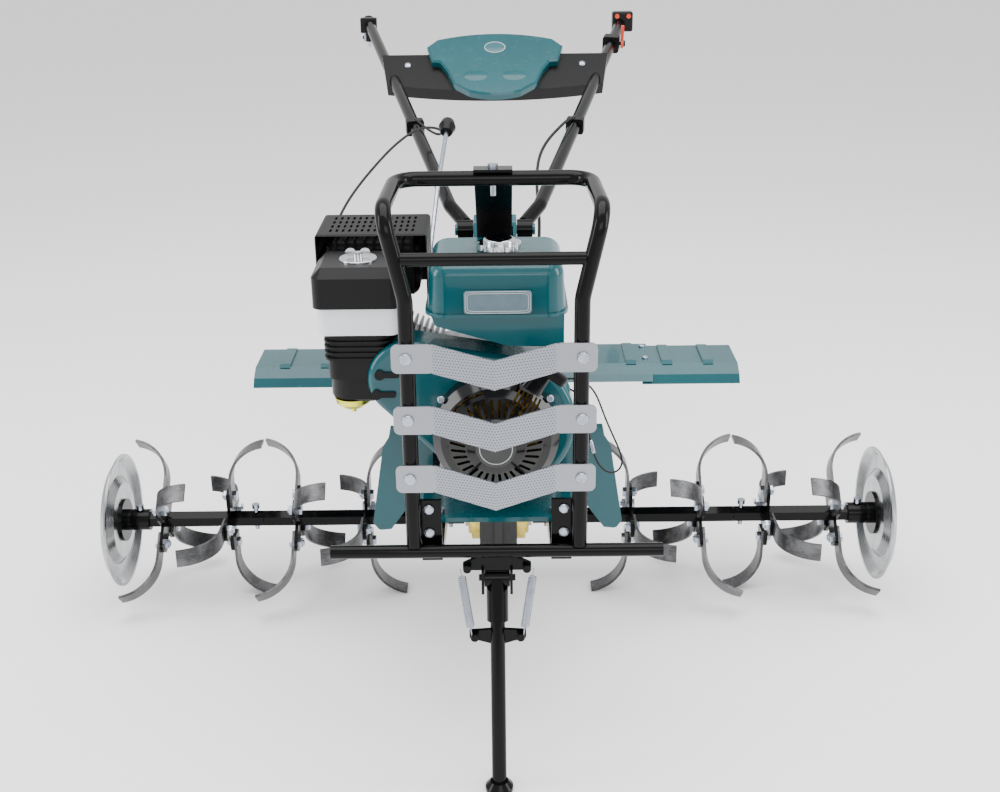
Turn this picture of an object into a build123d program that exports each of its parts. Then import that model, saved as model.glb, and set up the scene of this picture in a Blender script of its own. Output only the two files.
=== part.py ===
"""Walk-behind rotary tiller, built as an assembly in millimetres, +Z up, front towards -Y."""
from build123d import *
from math import atan2, cos, degrees, hypot, pi, radians, sin, sqrt, tan
import os

os.makedirs("parts", exist_ok=True)

# Driving dimensions
AXLE_Y = -316.98           # tine axle, in the row's frame
AXLE_Z = 156.0             # height of the tine axle above the ground
TIP_RADIUS = 153.0         # tine tips
HEX_FLATS = 28.0           # sleeve size across flats
CLUSTERS = (246.0, 376.0, 502.0, 626.0)
DISC_X = 704.0
DISC_RADIUS = 124.0
CRANK_Z = 481.0            # crankshaft height
TUBE = 22.0                # bumper tube diameter
BAR = 25.0                 # handlebar tube diameter
WALL = 2.0                 # wall of every bent tube
STRAP_TOPS = (686.0, 595.0, 505.0)


def y(behind_axle):
    """A place along the machine, given as a distance behind the tine axle."""
    return AXLE_Y + behind_axle


def save(part, name):
    """Label one sub-part and write its file."""
    part.label = name
    export_step(part, f"parts/{name}.step")


def rounded_tube(points, radii, outer, wall=2.0):
    """A bent tube along straight runs and tangent arcs."""
    with BuildPart() as tube:
        with BuildLine() as path:
            if len(points) > 2:
                FilletPolyline(*points, radius=radii)
            else:
                Line(*points)
        with BuildSketch(Plane(origin=path.line @ 0, z_dir=path.line % 0)):
            Circle(outer / 2)
            if wall:
                Circle(outer / 2 - wall, mode=Mode.SUBTRACT)
        sweep(transition=Transition.ROUND)
    return tube.part


def rod(start, end, radius):
    """A straight round bar between two points."""
    start, end = Vector(*start), Vector(*end)
    with BuildPart() as bar:
        with BuildSketch(Plane(origin=start, z_dir=end - start)):
            Circle(radius)
        extrude(amount=(end - start).length)
    return bar.part


def block(low, high, edge=0.0):
    """A box between two corners, with rounded edges."""
    size = [b - a for a, b in zip(low, high)]
    centre = [(a + b) / 2 for a, b in zip(low, high)]
    with BuildPart() as box:
        with Locations(tuple(centre)):
            Box(*size)
        if edge:
            fillet(box.edges(), edge)
    return box.part


def bolt(place, direction, head=13.0, thick=7.0, shank=6.0, length=16.0, domed=False):
    """A hex or domed bolt whose head sits on the place and whose shank goes the other way."""
    place, direction = Vector(*place), Vector(*direction).normalized()
    with BuildPart() as screw:
        with BuildSketch(Plane(origin=place, z_dir=direction)):
            if domed:
                Circle(head / 2)
            else:
                RegularPolygon(head / 2, 6, major_radius=False)
        extrude(amount=thick)
        if domed:
            fillet(screw.edges().filter_by(GeomType.CIRCLE).sort_by(
                lambda e: (e.center() - place).dot(direction))[-1], thick * 0.6)
        with BuildSketch(Plane(origin=place, z_dir=direction * -1)):
            Circle(shank / 2)
        extrude(amount=length)
    return screw.part


def mirrored(part):
    """The same piece on the other side of the machine."""
    return mirror(part, about=Plane.YZ)


def joined(*parts):
    """Several solids in one sub-part, fused where they meet."""
    with BuildPart() as body:
        for part in parts:
            add(part)
    return body.part


def group(parts):
    """Separate solids kept in one sub-part."""
    return Compound(children=[solid for part in parts for solid in part.solids()])


# Gear case, shafts and rotor
CASE_HALF = 34.0
CASE_WALL = 6.0
SHAFT_R = 10.0
FIT = 0.05
GEARS = (("cross", CRANK_Z, 30.0), ("upper_idler", 381.0, 70.0), ("lower_idler", 267.0, 44.0),
         ("axle", AXLE_Z, 67.0))
GEAR_X = (-14.0, -2.0)


def case_outline(grow):
    """Side outline of the gear case: round lobes joined by straight flanks."""
    for height, radius in ((CRANK_Z, 62.0), (381.0, 84.0), (AXLE_Z, 82.0)):
        with Locations((y(0), height)):
            Circle(radius + grow)
    make_hull()


def case_half(side):
    """One casting: wall, hollow, seam flange, outside ribs and bearing seats."""
    with BuildPart() as half:
        with BuildSketch(Plane.YZ):
            case_outline(0)
        extrude(amount=CASE_HALF * side)
        with BuildSketch(Plane.YZ):
            case_outline(9)
        extrude(amount=7 * side)
        for height, _ in ((CRANK_Z, 0), (381.0, 0), (267.0, 0)):
            with BuildSketch(Plane.YZ.offset(CASE_HALF * side)):
                with Locations((y(0), height)):
                    Circle(21)
            extrude(amount=5 * side)
        with BuildSketch(Plane.YZ):
            case_outline(-CASE_WALL)
        extrude(amount=(CASE_HALF - CASE_WALL) * side, mode=Mode.SUBTRACT)
        for name, height, _ in GEARS[:3]:
            with BuildSketch(Plane.YZ):
                with Locations((y(0), height)):
                    Circle(SHAFT_R + FIT)
            extrude(amount=(CASE_HALF - 1) * side, mode=Mode.SUBTRACT)
        with BuildSketch(Plane.YZ):
            with Locations((y(0), AXLE_Z)):
                Circle(30)
        extrude(amount=(CASE_HALF + 1) * side, mode=Mode.SUBTRACT)
        with BuildSketch(Plane.XZ.offset(-y(0))):
            with Locations((0, CRANK_Z)):
                Circle(SHAFT_R + 4)
        extrude(amount=100, mode=Mode.SUBTRACT)
    return half.part


def hub(side):
    """A bearing carrier bolted on one side of the case, round the axle."""
    with BuildPart() as carrier:
        with BuildSketch(Plane.YZ.offset((CASE_HALF - CASE_WALL) * side)):
            with Locations((y(0), AXLE_Z)):
                Circle(30)
        extrude(amount=CASE_WALL * side)
        with BuildSketch(Plane.YZ.offset(CASE_HALF * side)):
            with Locations((y(0), AXLE_Z)):
                Circle(42)
        extrude(amount=16 * side)
        with BuildSketch(Plane.YZ.offset((CASE_HALF + 16) * side)):
            with Locations((y(0), AXLE_Z)):
                Circle(32)
        extrude(amount=6 * side)
        chamfer(carrier.edges().filter_by(GeomType.CIRCLE).group_by(Axis.X)[-1 if side > 0 else 0], 2)
        with BuildSketch(Plane.YZ):
            with Locations((y(0), AXLE_Z)):
                Circle(18 + FIT)
        extrude(amount=80 * side, mode=Mode.SUBTRACT)
    return carrier.part


def disc_gear(height, radius, low, high, bore=0.0):
    """A plain gear blank at its pitch circle, a little under size so that it never rubs."""
    with BuildPart() as gear:
        with BuildSketch(Plane.YZ.offset(low)):
            with Locations((y(0), height)):
                Circle(radius - 0.3)
        extrude(amount=high - low)
        chamfer(gear.edges().filter_by(GeomType.CIRCLE), 0.8)
    return gear.part


def idler(height, radius):
    """An idler gear on its own short shaft."""
    end = CASE_HALF - 2
    return joined(disc_gear(height, radius, *GEAR_X), rod((-end, y(0), height), (end, y(0), height), SHAFT_R))


def cross_shaft():
    """The cross shaft with its small gear and the driven bevel gear."""
    end = CASE_HALF - 2
    with BuildPart() as shaft:
        add(rod((-end, y(0), CRANK_Z), (end, y(0), CRANK_Z), SHAFT_R))
        add(disc_gear(CRANK_Z, GEARS[0][2], *GEAR_X))
        with BuildSketch(Plane.XZ.offset(-y(0))):
            with Locations((0, CRANK_Z)):
                Polygon((15, 9), (15.4, 26.9), (25, 44.2), (27, 44.2), (27, 9), align=None)
        revolve(axis=Axis((0, y(0), CRANK_Z), (1, 0, 0)))
    return shaft.part


def input_shaft():
    """The bevel pinion, its shaft and the driven clutch disc behind the engine."""
    with BuildPart() as shaft:
        with BuildSketch(Plane.YZ):
            with Locations((y(0), CRANK_Z)):
                Polygon((-32, 0), (-32, 16.8), (-45, 24.2), (-49.5, 24.2), (-49.5, SHAFT_R), (-104, SHAFT_R),
                        (-104, 50), (-109, 50), (-109, 0), align=None)
        revolve(axis=Axis((0, y(0), CRANK_Z), (0, 1, 0)))
    return shaft.part


def clutch_housing():
    """The bell between the engine and the gear case."""
    with BuildPart() as bell:
        with BuildSketch(Plane.YZ):
            with Locations((y(0), CRANK_Z)):
                Polygon((-58, SHAFT_R + FIT), (-58, 40), (-76, 62), (-122, 68), (-122, 58), (-84, 54),
                        (-72, SHAFT_R + FIT), align=None)
        revolve(axis=Axis((0, y(0), CRANK_Z), (0, 1, 0)))
        with BuildSketch(Plane.YZ):
            case_outline(0.0)
        extrude(amount=CASE_HALF, both=True, mode=Mode.SUBTRACT)
    return bell.part


def axle():
    """The round axle in the case, with the final gear and a solid hexagon out to each sleeve."""
    with BuildPart() as shaft:
        add(disc_gear(AXLE_Z, GEARS[3][2], *GEAR_X))
        with BuildSketch(Plane.YZ):
            with Locations((y(0), AXLE_Z)):
                Circle(18)
        extrude(amount=CASE_HALF + 28, both=True)
        with BuildSketch(Plane.YZ):
            with Locations((y(0), AXLE_Z)):
                RegularPolygon(HEX_FLATS / 2 - 4, 6, major_radius=False, rotation=30)
        extrude(amount=180, both=True)
    return shaft.part


def sleeve(low, high, flanges):
    """A hexagon tube with the square flange plates that carry the blades."""
    with BuildPart() as tube:
        with BuildSketch(Plane.YZ.offset(low)):
            with Locations((y(0), AXLE_Z)):
                RegularPolygon(HEX_FLATS / 2, 6, major_radius=False, rotation=30)
        extrude(amount=high - low)
        for place, turn in flanges:
            with BuildSketch(Plane.YZ.offset(place - FLANGE / 2)):
                with Locations(Location((y(0), AXLE_Z), turn)):
                    RectangleRounded(124, 40, 12)
                    RectangleRounded(40, 124, 12)
            extrude(amount=FLANGE)
        with BuildSketch(Plane.YZ.offset(low)):
            with Locations((y(0), AXLE_Z)):
                RegularPolygon(HEX_FLATS / 2 - 3.9, 6, major_radius=False, rotation=30)
        extrude(amount=high - low, mode=Mode.SUBTRACT)
    return tube.part


# Blades: each is bolted flat on a flange, runs outward and sweeps sideways in an arc
FLANGE = 6.0
BLADE_WIDE = 32.0
BLADE_THICK = 5.0
BOLT_R = 48.0
BLADE_BEND_R = 92.0
BLADE_STRAIGHT = 78.0


def blade(place, side, angle):
    """One curved blade whose flat root lies on the flange and whose tip sweeps to one side."""
    reach = sqrt(BLADE_BEND_R**2 - (BLADE_BEND_R - 62)**2)
    rise = TIP_RADIUS - 30
    with BuildPart() as steel:
        with BuildSketch(Plane.XZ):
            with BuildLine():
                a = Line((0, 30), (0, BLADE_STRAIGHT))
                b = TangentArc(a @ 1, (62, TIP_RADIUS - 2), tangent=(0, 1))
                c = Line(b @ 1, (b @ 1) + Vector(-(b % 1).Y, (b % 1).X) * BLADE_THICK)
                d = Line((-BLADE_THICK, 30), (-BLADE_THICK, BLADE_STRAIGHT))
                TangentArc(d @ 1, c @ 1, tangent=(0, 1))
                Line(a @ 0, d @ 0)
            make_face()
        extrude(amount=BLADE_WIDE / 2, both=True)
        with BuildSketch(Plane.YZ.offset(-BLADE_THICK)):
            with Locations((0, BOLT_R)):
                Circle(5.1)
        extrude(amount=BLADE_THICK, mode=Mode.SUBTRACT)
    shape = steel.part
    if side < 0:
        shape = mirror(shape, about=Plane.YZ)
    shape = shape.moved(Location((place + side * (FLANGE / 2 + BLADE_THICK), 0, 0)))
    return shape.rotate(Axis.X, angle).moved(Location((0, y(0), AXLE_Z)))


def cluster(place, start):
    """Four blades on one flange, swept to alternate sides."""
    return group(blade(place, 1 if turn % 2 else -1, start + 90 * turn) for turn in range(4))


# Engine
ENGINE_FRONT = -270.0
ENGINE_REAR = -130.0
BASE_Z = 349.0
TANK_SEAM_Z = 673.0
LEAN = 25.0                # cylinder above the horizontal


def engine_block():
    """Crankcase with its foot, and the bore for the crankshaft."""
    with BuildPart() as case:
        add(block((-92, y(ENGINE_FRONT), BASE_Z + 8), (98, y(ENGINE_REAR), 575), 14))
        add(block((-96, y(ENGINE_FRONT - 6), BASE_Z), (102, y(ENGINE_REAR + 6), BASE_Z + 12)))
        with BuildSketch(Plane.XZ.offset(-y(ENGINE_REAR))):
            with Locations((0, CRANK_Z)):
                Circle(70)
        extrude(amount=-8)
        with BuildSketch(Plane.XZ.offset(-y(-350))):
            with Locations((0, CRANK_Z)):
                Circle(15 + FIT)
        extrude(amount=-300, mode=Mode.SUBTRACT)
    return case.part


BARREL = Plane(origin=(0, y(-200), CRANK_Z), x_dir=(0, 1, 0),
               z_dir=(-cos(radians(LEAN)), 0, sin(radians(LEAN))))
FIN_SIZE = (128, 124)


def cylinder():
    """Finned barrel and head, leaning to the left, with the valve cover at its end."""
    with BuildPart() as barrel:
        with BuildSketch(BARREL.offset(86)):
            RectangleRounded(96, 96, 10)
        extrude(amount=132)
        for fin in range(11):
            with BuildSketch(BARREL.offset(100 + 9.5 * fin)):
                RectangleRounded(*FIN_SIZE, 16)
            extrude(amount=3)
        with BuildSketch(BARREL.offset(218)):
            RectangleRounded(104, 84, 14)
        extrude(amount=30)
        fillet(barrel.edges().group_by(lambda e: e.center().X)[0], 6)
        add(block((-92, y(ENGINE_FRONT), BASE_Z + 8), (98, y(ENGINE_REAR), 575), 14), mode=Mode.SUBTRACT)
    return barrel.part.solids().sort_by(SortBy.VOLUME)[-1]


def shroud_outline(grow):
    """Outline of the blower housing: a ring round the fan running on towards the cylinder."""
    with Locations((12, 485)):
        Circle(112 + grow)
    with Locations((-134, 560)):
        Circle(62 + grow)
    make_hull()


CONTROL_PIVOTS = ((-176, 572), (-182, 540))   # choke above, fuel tap below


def blower_housing():
    """The pressed housing between the recoil starter and the block, open at the back."""
    with BuildPart() as shell:
        with BuildSketch(Plane.XZ.offset(-y(-336))):
            shroud_outline(0)
        extrude(amount=-64)
        fillet(shell.faces().sort_by(Axis.Y)[0].edges(), 12)
        for front, inset in ((-333, -13), (-323, -3)):
            with BuildSketch(Plane.XZ.offset(-y(front))):
                shroud_outline(inset)
            extrude(amount=-80, mode=Mode.SUBTRACT)
        with BuildSketch(Plane.XZ.offset(-y(-340))):
            with Locations((0, CRANK_Z)):
                Circle(82)
        extrude(amount=-10, mode=Mode.SUBTRACT)
        for x, z in CONTROL_PIVOTS:
            add(rod((x, y(-334), z), (x, y(-336.8), z), 5))
    return shell.part


RECOIL_R = 96.5
SLOTS = 34


def recoil_cover():
    """The starter's black domed cover with its radial slots and a grille at the upper right."""
    with BuildPart() as cover:
        with BuildSketch(Plane.YZ):
            with Locations((y(0), CRANK_Z)):
                Polygon((-336.3, RECOIL_R), (-366, RECOIL_R), (-380, 84), (-386, 72), (-404, 44), (-410, 32),
                        (-410, 0), (-407, 0), (-407, 30), (-401, 42), (-383, 69), (-377, 81),
                        (-364, RECOIL_R - 3), (-336.3, RECOIL_R - 3), align=None)
        revolve(axis=Axis((0, y(0), CRANK_Z), (0, 1, 0)))
        with BuildSketch(Plane.XZ.offset(-y(-340))):
            with Locations((0, CRANK_Z)):
                with PolarLocations(58, SLOTS):
                    SlotOverall(24, 4.4)
        extrude(amount=80, mode=Mode.SUBTRACT)
        with BuildSketch(Plane.XZ.offset(-y(-350))):
            with Locations((0, CRANK_Z)):
                with PolarLocations(79, 3, start_angle=112, angular_range=50):
                    SlotOverall(24, 3, rotation=90)
                with Locations(Location((46, 62), -35)):
                    with GridLocations(7, 0, 6, 1):
                        SlotOverall(26, 3.4, rotation=90)
        extrude(amount=80, mode=Mode.SUBTRACT)
    return cover.part


def recoil_badge():
    """The plain disc in the middle of the starter."""
    return rod((0, y(-410), CRANK_Z), (0, y(-414), CRANK_Z), 30)


def crankshaft():
    """Crankshaft with the fan and starter cup in front and the clutch drum behind."""
    with BuildPart() as shaft:
        add(rod((0, y(-372), CRANK_Z), (0, y(-113), CRANK_Z), 15))
        add(rod((0, y(-318), CRANK_Z), (0, y(-312), CRANK_Z), 88))
        with BuildSketch(Plane.XZ.offset(-y(-318))):
            with Locations((0, CRANK_Z)):
                with PolarLocations(66, 18):
                    Rectangle(28, 3)
        extrude(amount=22)
        with BuildSketch(Plane.XZ.offset(-y(-340))):
            with Locations((0, CRANK_Z)):
                Circle(50)
                Circle(15, mode=Mode.SUBTRACT)
        extrude(amount=-28)
        add(rod((0, y(-119), CRANK_Z), (0, y(-110), CRANK_Z), 50))
    return shaft.part


def fuel_tank():
    """Upper and lower pressings with the seam lip between them and a neck on top."""
    with BuildPart() as tank:
        with BuildSketch(Plane.XY.offset(TANK_SEAM_Z)):
            with Locations((3, y(-271))):
                RectangleRounded(206, 176, 30)
        extrude(amount=77, taper=3)
        fillet(tank.faces().sort_by(Axis.Z)[-1].edges(), 22)
        with BuildSketch(Plane.XY.offset(TANK_SEAM_Z - 3)):
            with Locations((3, y(-271))):
                RectangleRounded(214, 184, 34)
        extrude(amount=5)
        with BuildSketch(Plane.XZ.offset(-y(-357))):
            Polygon((-94, 672), (103, 672), (103, 622), (20, 624), (-88, 656), align=None)
        extrude(amount=-172)
        fillet(tank.edges().filter_by(lambda e: e.center().Z < 660 and e.length > 160), 6)
        with BuildSketch(Plane.XY.offset(748)):
            with Locations((8, y(-290))):
                Circle(24)
        extrude(amount=8)
        with BuildSketch(Plane.XY.offset(TANK_SEAM_Z - 1)):
            with Locations((3, y(-271))):
                RectangleRounded(196, 166, 28)
        extrude(amount=72, taper=6, mode=Mode.SUBTRACT)
        with BuildSketch(Plane.XZ.offset(-y(-352))):
            Polygon((-88, 673), (98, 673), (98, 626), (22, 628), (-82, 658), align=None)
        extrude(amount=-162, mode=Mode.SUBTRACT)
        add(rod((8, y(-290), 700), (8, y(-290), 760), 19), mode=Mode.SUBTRACT)
    return tank.part


def tank_plate():
    """The plain plate on the front of the tank."""
    front = Plane(origin=(5, y(-361.5), 694), x_dir=(1, 0, 0), z_dir=(0, -1, 0.05))
    with BuildPart() as plate:
        with BuildSketch(front):
            RectangleRounded(100, 35, 5)
        extrude(amount=2)
    return plate.part


def fuel_cap():
    """A wide cap with gripping scallops."""
    with BuildPart() as cap:
        with BuildSketch(Plane.XY.offset(756.2)):
            with Locations((8, y(-290))):
                Circle(33)
                with PolarLocations(38, 8):
                    Circle(9, mode=Mode.SUBTRACT)
        extrude(amount=9)
        with BuildSketch(Plane.XY.offset(765.2)):
            with Locations((8, y(-290))):
                Circle(24)
        extrude(amount=7)
        fillet(cap.faces().sort_by(Axis.Z)[-1].edges(), 4)
    return cap.part


CLEANER = (-206.0, -279.0)


def cleaner_layer(low, high, wide, deep, corner, taper=0.0):
    """One layer of the air cleaner, about its own middle."""
    with BuildPart() as layer:
        with BuildSketch(Plane.XY.offset(low)):
            with Locations((CLEANER[0], y(CLEANER[1]))):
                RectangleRounded(wide, deep, corner)
        extrude(amount=high - low, taper=taper)
    return layer


def cleaner_cover():
    """The black cover, with a flat for the wing nut."""
    layer = cleaner_layer(677, 724, 134, 118, 16)
    with BuildPart() as cover:
        add(layer.part)
        with BuildSketch(Plane.XY.offset(724)):
            with Locations((CLEANER[0], y(CLEANER[1]))):
                RectangleRounded(134, 118, 16)
        extrude(amount=14, taper=45)
    return cover.part


def cleaner_ring():
    """The pale ring between cover and base."""
    return cleaner_layer(634, 677, 122, 108, 14).part


def cleaner_base():
    """The black elbow beneath the filter with its five ribs and its rounded lower pot."""
    with BuildPart() as base:
        with BuildSketch(Plane.XY.offset(560)):
            with Locations((CLEANER[0] - 2, y(CLEANER[1]))):
                RectangleRounded(98, 92, 20)
        extrude(amount=74)
        for rib in range(5):
            with BuildSketch(Plane.XY.offset(592 + 9 * rib)):
                with Locations((CLEANER[0] - 2, y(CLEANER[1]))):
                    RectangleRounded(106, 98, 18)
            extrude(amount=3.5)
        with BuildSketch(Plane.XY.offset(521)):
            with Locations((CLEANER[0] - 3, y(CLEANER[1]))):
                RectangleRounded(94, 84, 34)
        extrude(amount=40)
        chamfer(base.faces().sort_by(Axis.Z)[0].edges(), 5)
        with BuildSketch(Plane.XZ.offset(-y(-240))):
            with Locations((-196, 548)):
                RectangleRounded(46, 46, 6)
        extrude(amount=-22)
        with BuildSketch(BARREL.offset(80)):
            Rectangle(*(across + 1 for across in FIN_SIZE))
        extrude(amount=170, mode=Mode.SUBTRACT)
        with BuildSketch(Plane.XZ.offset(-y(-337))):
            shroud_outline(0.5)
        extrude(amount=-66, mode=Mode.SUBTRACT)
    return base.part.solids().sort_by(SortBy.VOLUME)[-1]


def cleaner_plate():
    """Round plate and wing nut on the cover."""
    top = 738.0
    with BuildPart() as nut:
        with BuildSketch(Plane.XY.offset(top)):
            with Locations((CLEANER[0], y(CLEANER[1]))):
                Circle(29)
        extrude(amount=3)
        fillet(nut.faces().sort_by(Axis.Z)[-1].edges(), 1.5)
        with BuildSketch(Plane.XY.offset(top + 3)):
            with Locations((CLEANER[0], y(CLEANER[1]))):
                Circle(7)
        extrude(amount=8)
        with BuildSketch(Plane.XZ.offset(-y(CLEANER[1]) + 1.5)):
            with Locations((CLEANER[0] - 11, top + 11), (CLEANER[0] + 11, top + 11)):
                Ellipse(8, 6)
        extrude(amount=-3)
    return nut.part


def carburettor():
    """Carburettor body between the cleaner and the head."""
    with BuildPart() as body:
        with BuildSketch(Plane.XZ.offset(-y(-262))):
            with Locations((-150, 545)):
                Circle(16)
        extrude(amount=-20)
        add(block((-168, y(-300), 528), (-136, y(-262), 566), 5))
        add(rod((-168, y(-280), 548), (-158, y(-280), 548), 12))
    return body.part


def float_bowl():
    """The yellow bowl with its drain screw, under the cleaner."""
    with BuildPart() as bowl:
        with BuildSketch(Plane.XZ.offset(-y(-290))):
            Polygon((-224, 521), (-195, 521), (-197, 512), (-208, 503), (-224, 501), align=None)
        revolve(axis=Axis((-224, y(-290), 500), (0, 0, 1)))
        add(rod((-224, y(-290), 502), (-224, y(-290), 494), 4))
    return bowl.part


def small_lever(pivot, reach, wide):
    """A flat lever on a small boss, pointing to the right and turning about Y."""
    with BuildPart() as lever:
        with BuildSketch(Plane(origin=pivot, x_dir=(1, 0, 0), z_dir=(0, -1, 0))):
            Circle(8)
            with Locations((reach / 2, 0)):
                RectangleRounded(reach, wide, wide / 2 - 0.2)
        extrude(amount=3)
    return lever.part


MUFFLER = ((-282.0, -207.0, 640.0), (-106.0, -69.0, 756.0))


def muffler():
    """Ribbed silencer box with its inlet pipe to the head."""
    (left, front, low), (right, back, high) = MUFFLER
    with BuildPart() as can:
        add(block((left + 14, y(front + 22), low + 8), (right - 14, y(back - 10), high - 16), 16))
        for rib in range(9):
            place = left + 30 + rib * 15
            add(block((place, y(front + 16), low + 14), (place + 3, y(back - 8), high - 12)))
        add(rod((-200, y(-128), 600), (-200, y(-128), 655), 14))
        add(rod((right - 22, y(-120), 690), (right + 4, y(-120), 690), 11))
        add(block((left + 17, y(front + 25), low + 11), (right - 17, y(back - 13), high - 19), 13),
            mode=Mode.SUBTRACT)
        add(rod((right - 24, y(-120), 690), (right + 6, y(-120), 690), 8), mode=Mode.SUBTRACT)
    return can.part


def muffler_guard():
    """Folded sheet cover with rows of slots, open in front."""
    (left, front, low), (right, back, high) = MUFFLER
    with BuildPart() as guard:
        add(block((left, y(front), low), (right, y(back), high), 6))
        add(block((left + 2, y(front) - 10, low - 10), (right - 2, y(back) - 2, high - 2)), mode=Mode.SUBTRACT)
        with BuildSketch(Plane.XY.offset(high - 5)):
            with Locations(((left + right) / 2, y((front + back) / 2))):
                with GridLocations(10, 26, 14, 4):
                    SlotOverall(16, 4, rotation=90)
        extrude(amount=10, mode=Mode.SUBTRACT)
        with BuildSketch(Plane.YZ.offset(left - 5)):
            with Locations((y((front + back) / 2), (low + high) / 2)):
                with GridLocations(14, 26, 7, 3):
                    SlotOverall(16, 4, rotation=90)
        extrude(amount=right - left + 10, mode=Mode.SUBTRACT)
        with BuildSketch(Plane.YZ.offset(right - 5)):
            with Locations((y(-120), 690)):
                Circle(14)
        extrude(amount=10, mode=Mode.SUBTRACT)
        add(block((-210, y(back - 12), low - 8), (-190, y(back), low + 12)))
    return guard.part


def spark_plug():
    """Plug with its rubber boot, in line with the cylinder."""
    def spot(far):
        return (-far * cos(radians(LEAN)), y(-180), CRANK_Z + far * sin(radians(LEAN)))
    return joined(rod(spot(248.6), spot(264), 6), rod(spot(262), spot(286), 10))


# Frame, bumper and stand
CAGE_Y = -507.0
CAGE_X = 120.0
ELBOW = (147.0, 866.0)
TOP_BAR = (140.0, -336.0, 872.0)
RAIL_X = 86.0
CROSSBAR_Z = 361.0


def bumper_cage():
    """The bent tube of the bumper with its middle bar."""
    side = [(CAGE_X, y(CAGE_Y), CROSSBAR_Z + 9.5), (CAGE_X, y(CAGE_Y), 745), (ELBOW[0], y(CAGE_Y), ELBOW[1]),
            (TOP_BAR[0], y(TOP_BAR[1]), TOP_BAR[2])]
    left = [(-px, py, pz) for px, py, pz in side]
    path = left + side[::-1]
    with BuildPart() as cage:
        with BuildLine() as route:
            FilletPolyline(*path, radius=[60, 34, 34, 34, 34, 60])
        with BuildSketch(Plane(origin=route.line @ 0, z_dir=route.line % 0)):
            Circle(TUBE / 2)
            Circle(TUBE / 2 - WALL, mode=Mode.SUBTRACT)
        sweep()
        add(rod((-124, y(CAGE_Y), 801), (124, y(CAGE_Y), 801), 9))
    return cage.part


def crossbar():
    """The long bar across the bottom of the bumper."""
    return rounded_tube([(-242, y(CAGE_Y), CROSSBAR_Z), (242, y(CAGE_Y), CROSSBAR_Z)], [], 20, WALL)


def strap(top):
    """A V-shaped strap with two flat tabs, bent forward in the middle."""
    front = y(CAGE_Y) - TUBE / 2
    bend, apex, drop = 86.0, 30.0, 14.0
    tall, thick = 42.0, 3.0
    with BuildPart() as band:
        with BuildSketch(Plane.XZ.offset(-front)):
            with Locations(((137 + bend) / 2, top - tall / 2), (-(137 + bend) / 2, top - tall / 2)):
                RectangleRounded(137 - bend + 8, tall, 9)
        extrude(amount=thick)
        for side in (-1, 1):
            with BuildSketch(Plane.YZ.offset(side * bend)) as outer:
                with Locations((front - thick / 2, top - tall / 2)):
                    Rectangle(thick, tall)
            with BuildSketch(Plane.YZ) as inner:
                with Locations((front - apex - thick / 2, top - tall / 2 - drop)):
                    Rectangle(thick + 0.6, tall)
            loft(sections=[outer.sketch, inner.sketch])
    return band.part


def brace_plate():
    """The tapered plate from the top bar down to the handle mount, over the tank."""
    with BuildPart() as plate:
        with BuildSketch(Plane.YZ):
            Polygon((y(TOP_BAR[1] - 14), 883.1), (y(TOP_BAR[1] - 14), 887), (y(TOP_BAR[1] + 14), 887),
                    (y(-22), 645), (y(-22), 561), (y(-26), 561), (y(-26), 641), (y(TOP_BAR[1] + 13), 883.1),
                    align=None)
        extrude(amount=28, both=True)
    return plate.part


def cradle():
    """Top plate under the engine, two side rails and the cross tubes to the gear case."""
    with BuildPart() as frame:
        add(block((-112, y(-380), BASE_Z - 6), (112, y(-96), BASE_Z)))
        for side in (-1, 1):
            low, high = sorted((side * (RAIL_X - 6), side * RAIL_X))
            with BuildSketch(Plane.YZ.offset(low)):
                Polygon((y(-487), 337), (y(-487), BASE_Z - 6), (y(40), BASE_Z - 6), (y(40), 290), (y(-120), 290),
                        (y(-300), 300), align=None)
            extrude(amount=high - low)
            low, high = sorted((side * (RAIL_X - 6), side * (CAGE_X + 6)))
            add(block((low, y(-492), 372), (high, y(-486), 436)))
            low, high = sorted((side * (RAIL_X - 6), side * (RAIL_X + 24)))
            add(block((low, y(-492), 338), (high, y(-486), 372)))
            inner = side * CASE_HALF
            for along in (-30, 20):
                add(rod((inner, y(along), 320), (side * (RAIL_X - 6), y(along), 320), 11))
    return frame.part


SPRING_TOP = (43.5, 337.0)
SPRING_FOOT_X = 34.0


def stand_bracket():
    """The plate under the crossbar with the stand's cheeks, its pivot pin and two spring pins."""
    with BuildPart() as bracket:
        with BuildSketch(Plane.XZ.offset(-y(CAGE_Y))):
            Polygon((-28, 352), (28, 352), (50, 341), (50, 331), (-50, 331), (-50, 341), align=None)
        extrude(amount=4, both=True)
        for side in (-1, 1):
            low, high = sorted((side * 19, side * 23))
            add(block((low, y(CAGE_Y) - 14, 296), (high, y(CAGE_Y) + 22, 334)))
            x, z = side * SPRING_TOP[0], SPRING_TOP[1]
            add(rod((x, y(CAGE_Y) - 12, z), (x, y(CAGE_Y), z), 3.5))
            add(rod((x, y(CAGE_Y) - 13.5, z), (x, y(CAGE_Y) - 10.5, z), 6))
        add(rod((-27, y(STAND_PIVOT[0]), STAND_PIVOT[1]), (27, y(STAND_PIVOT[0]), STAND_PIVOT[1]), 5))
    return bracket.part


STAND_PIVOT = (-499.0, 312.0)
FOOT_Y = -587.0
SPRING_LOW = 0.27          # share of the leg's length where the lower lugs sit


def leg_point(share, forward=0.0):
    """A point down the leg's centre line, 0 at the pivot and 1 at the foot."""
    return (0, y(STAND_PIVOT[0] + (FOOT_Y - STAND_PIVOT[0]) * share) - forward, STAND_PIVOT[1] * (1 - share))


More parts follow.
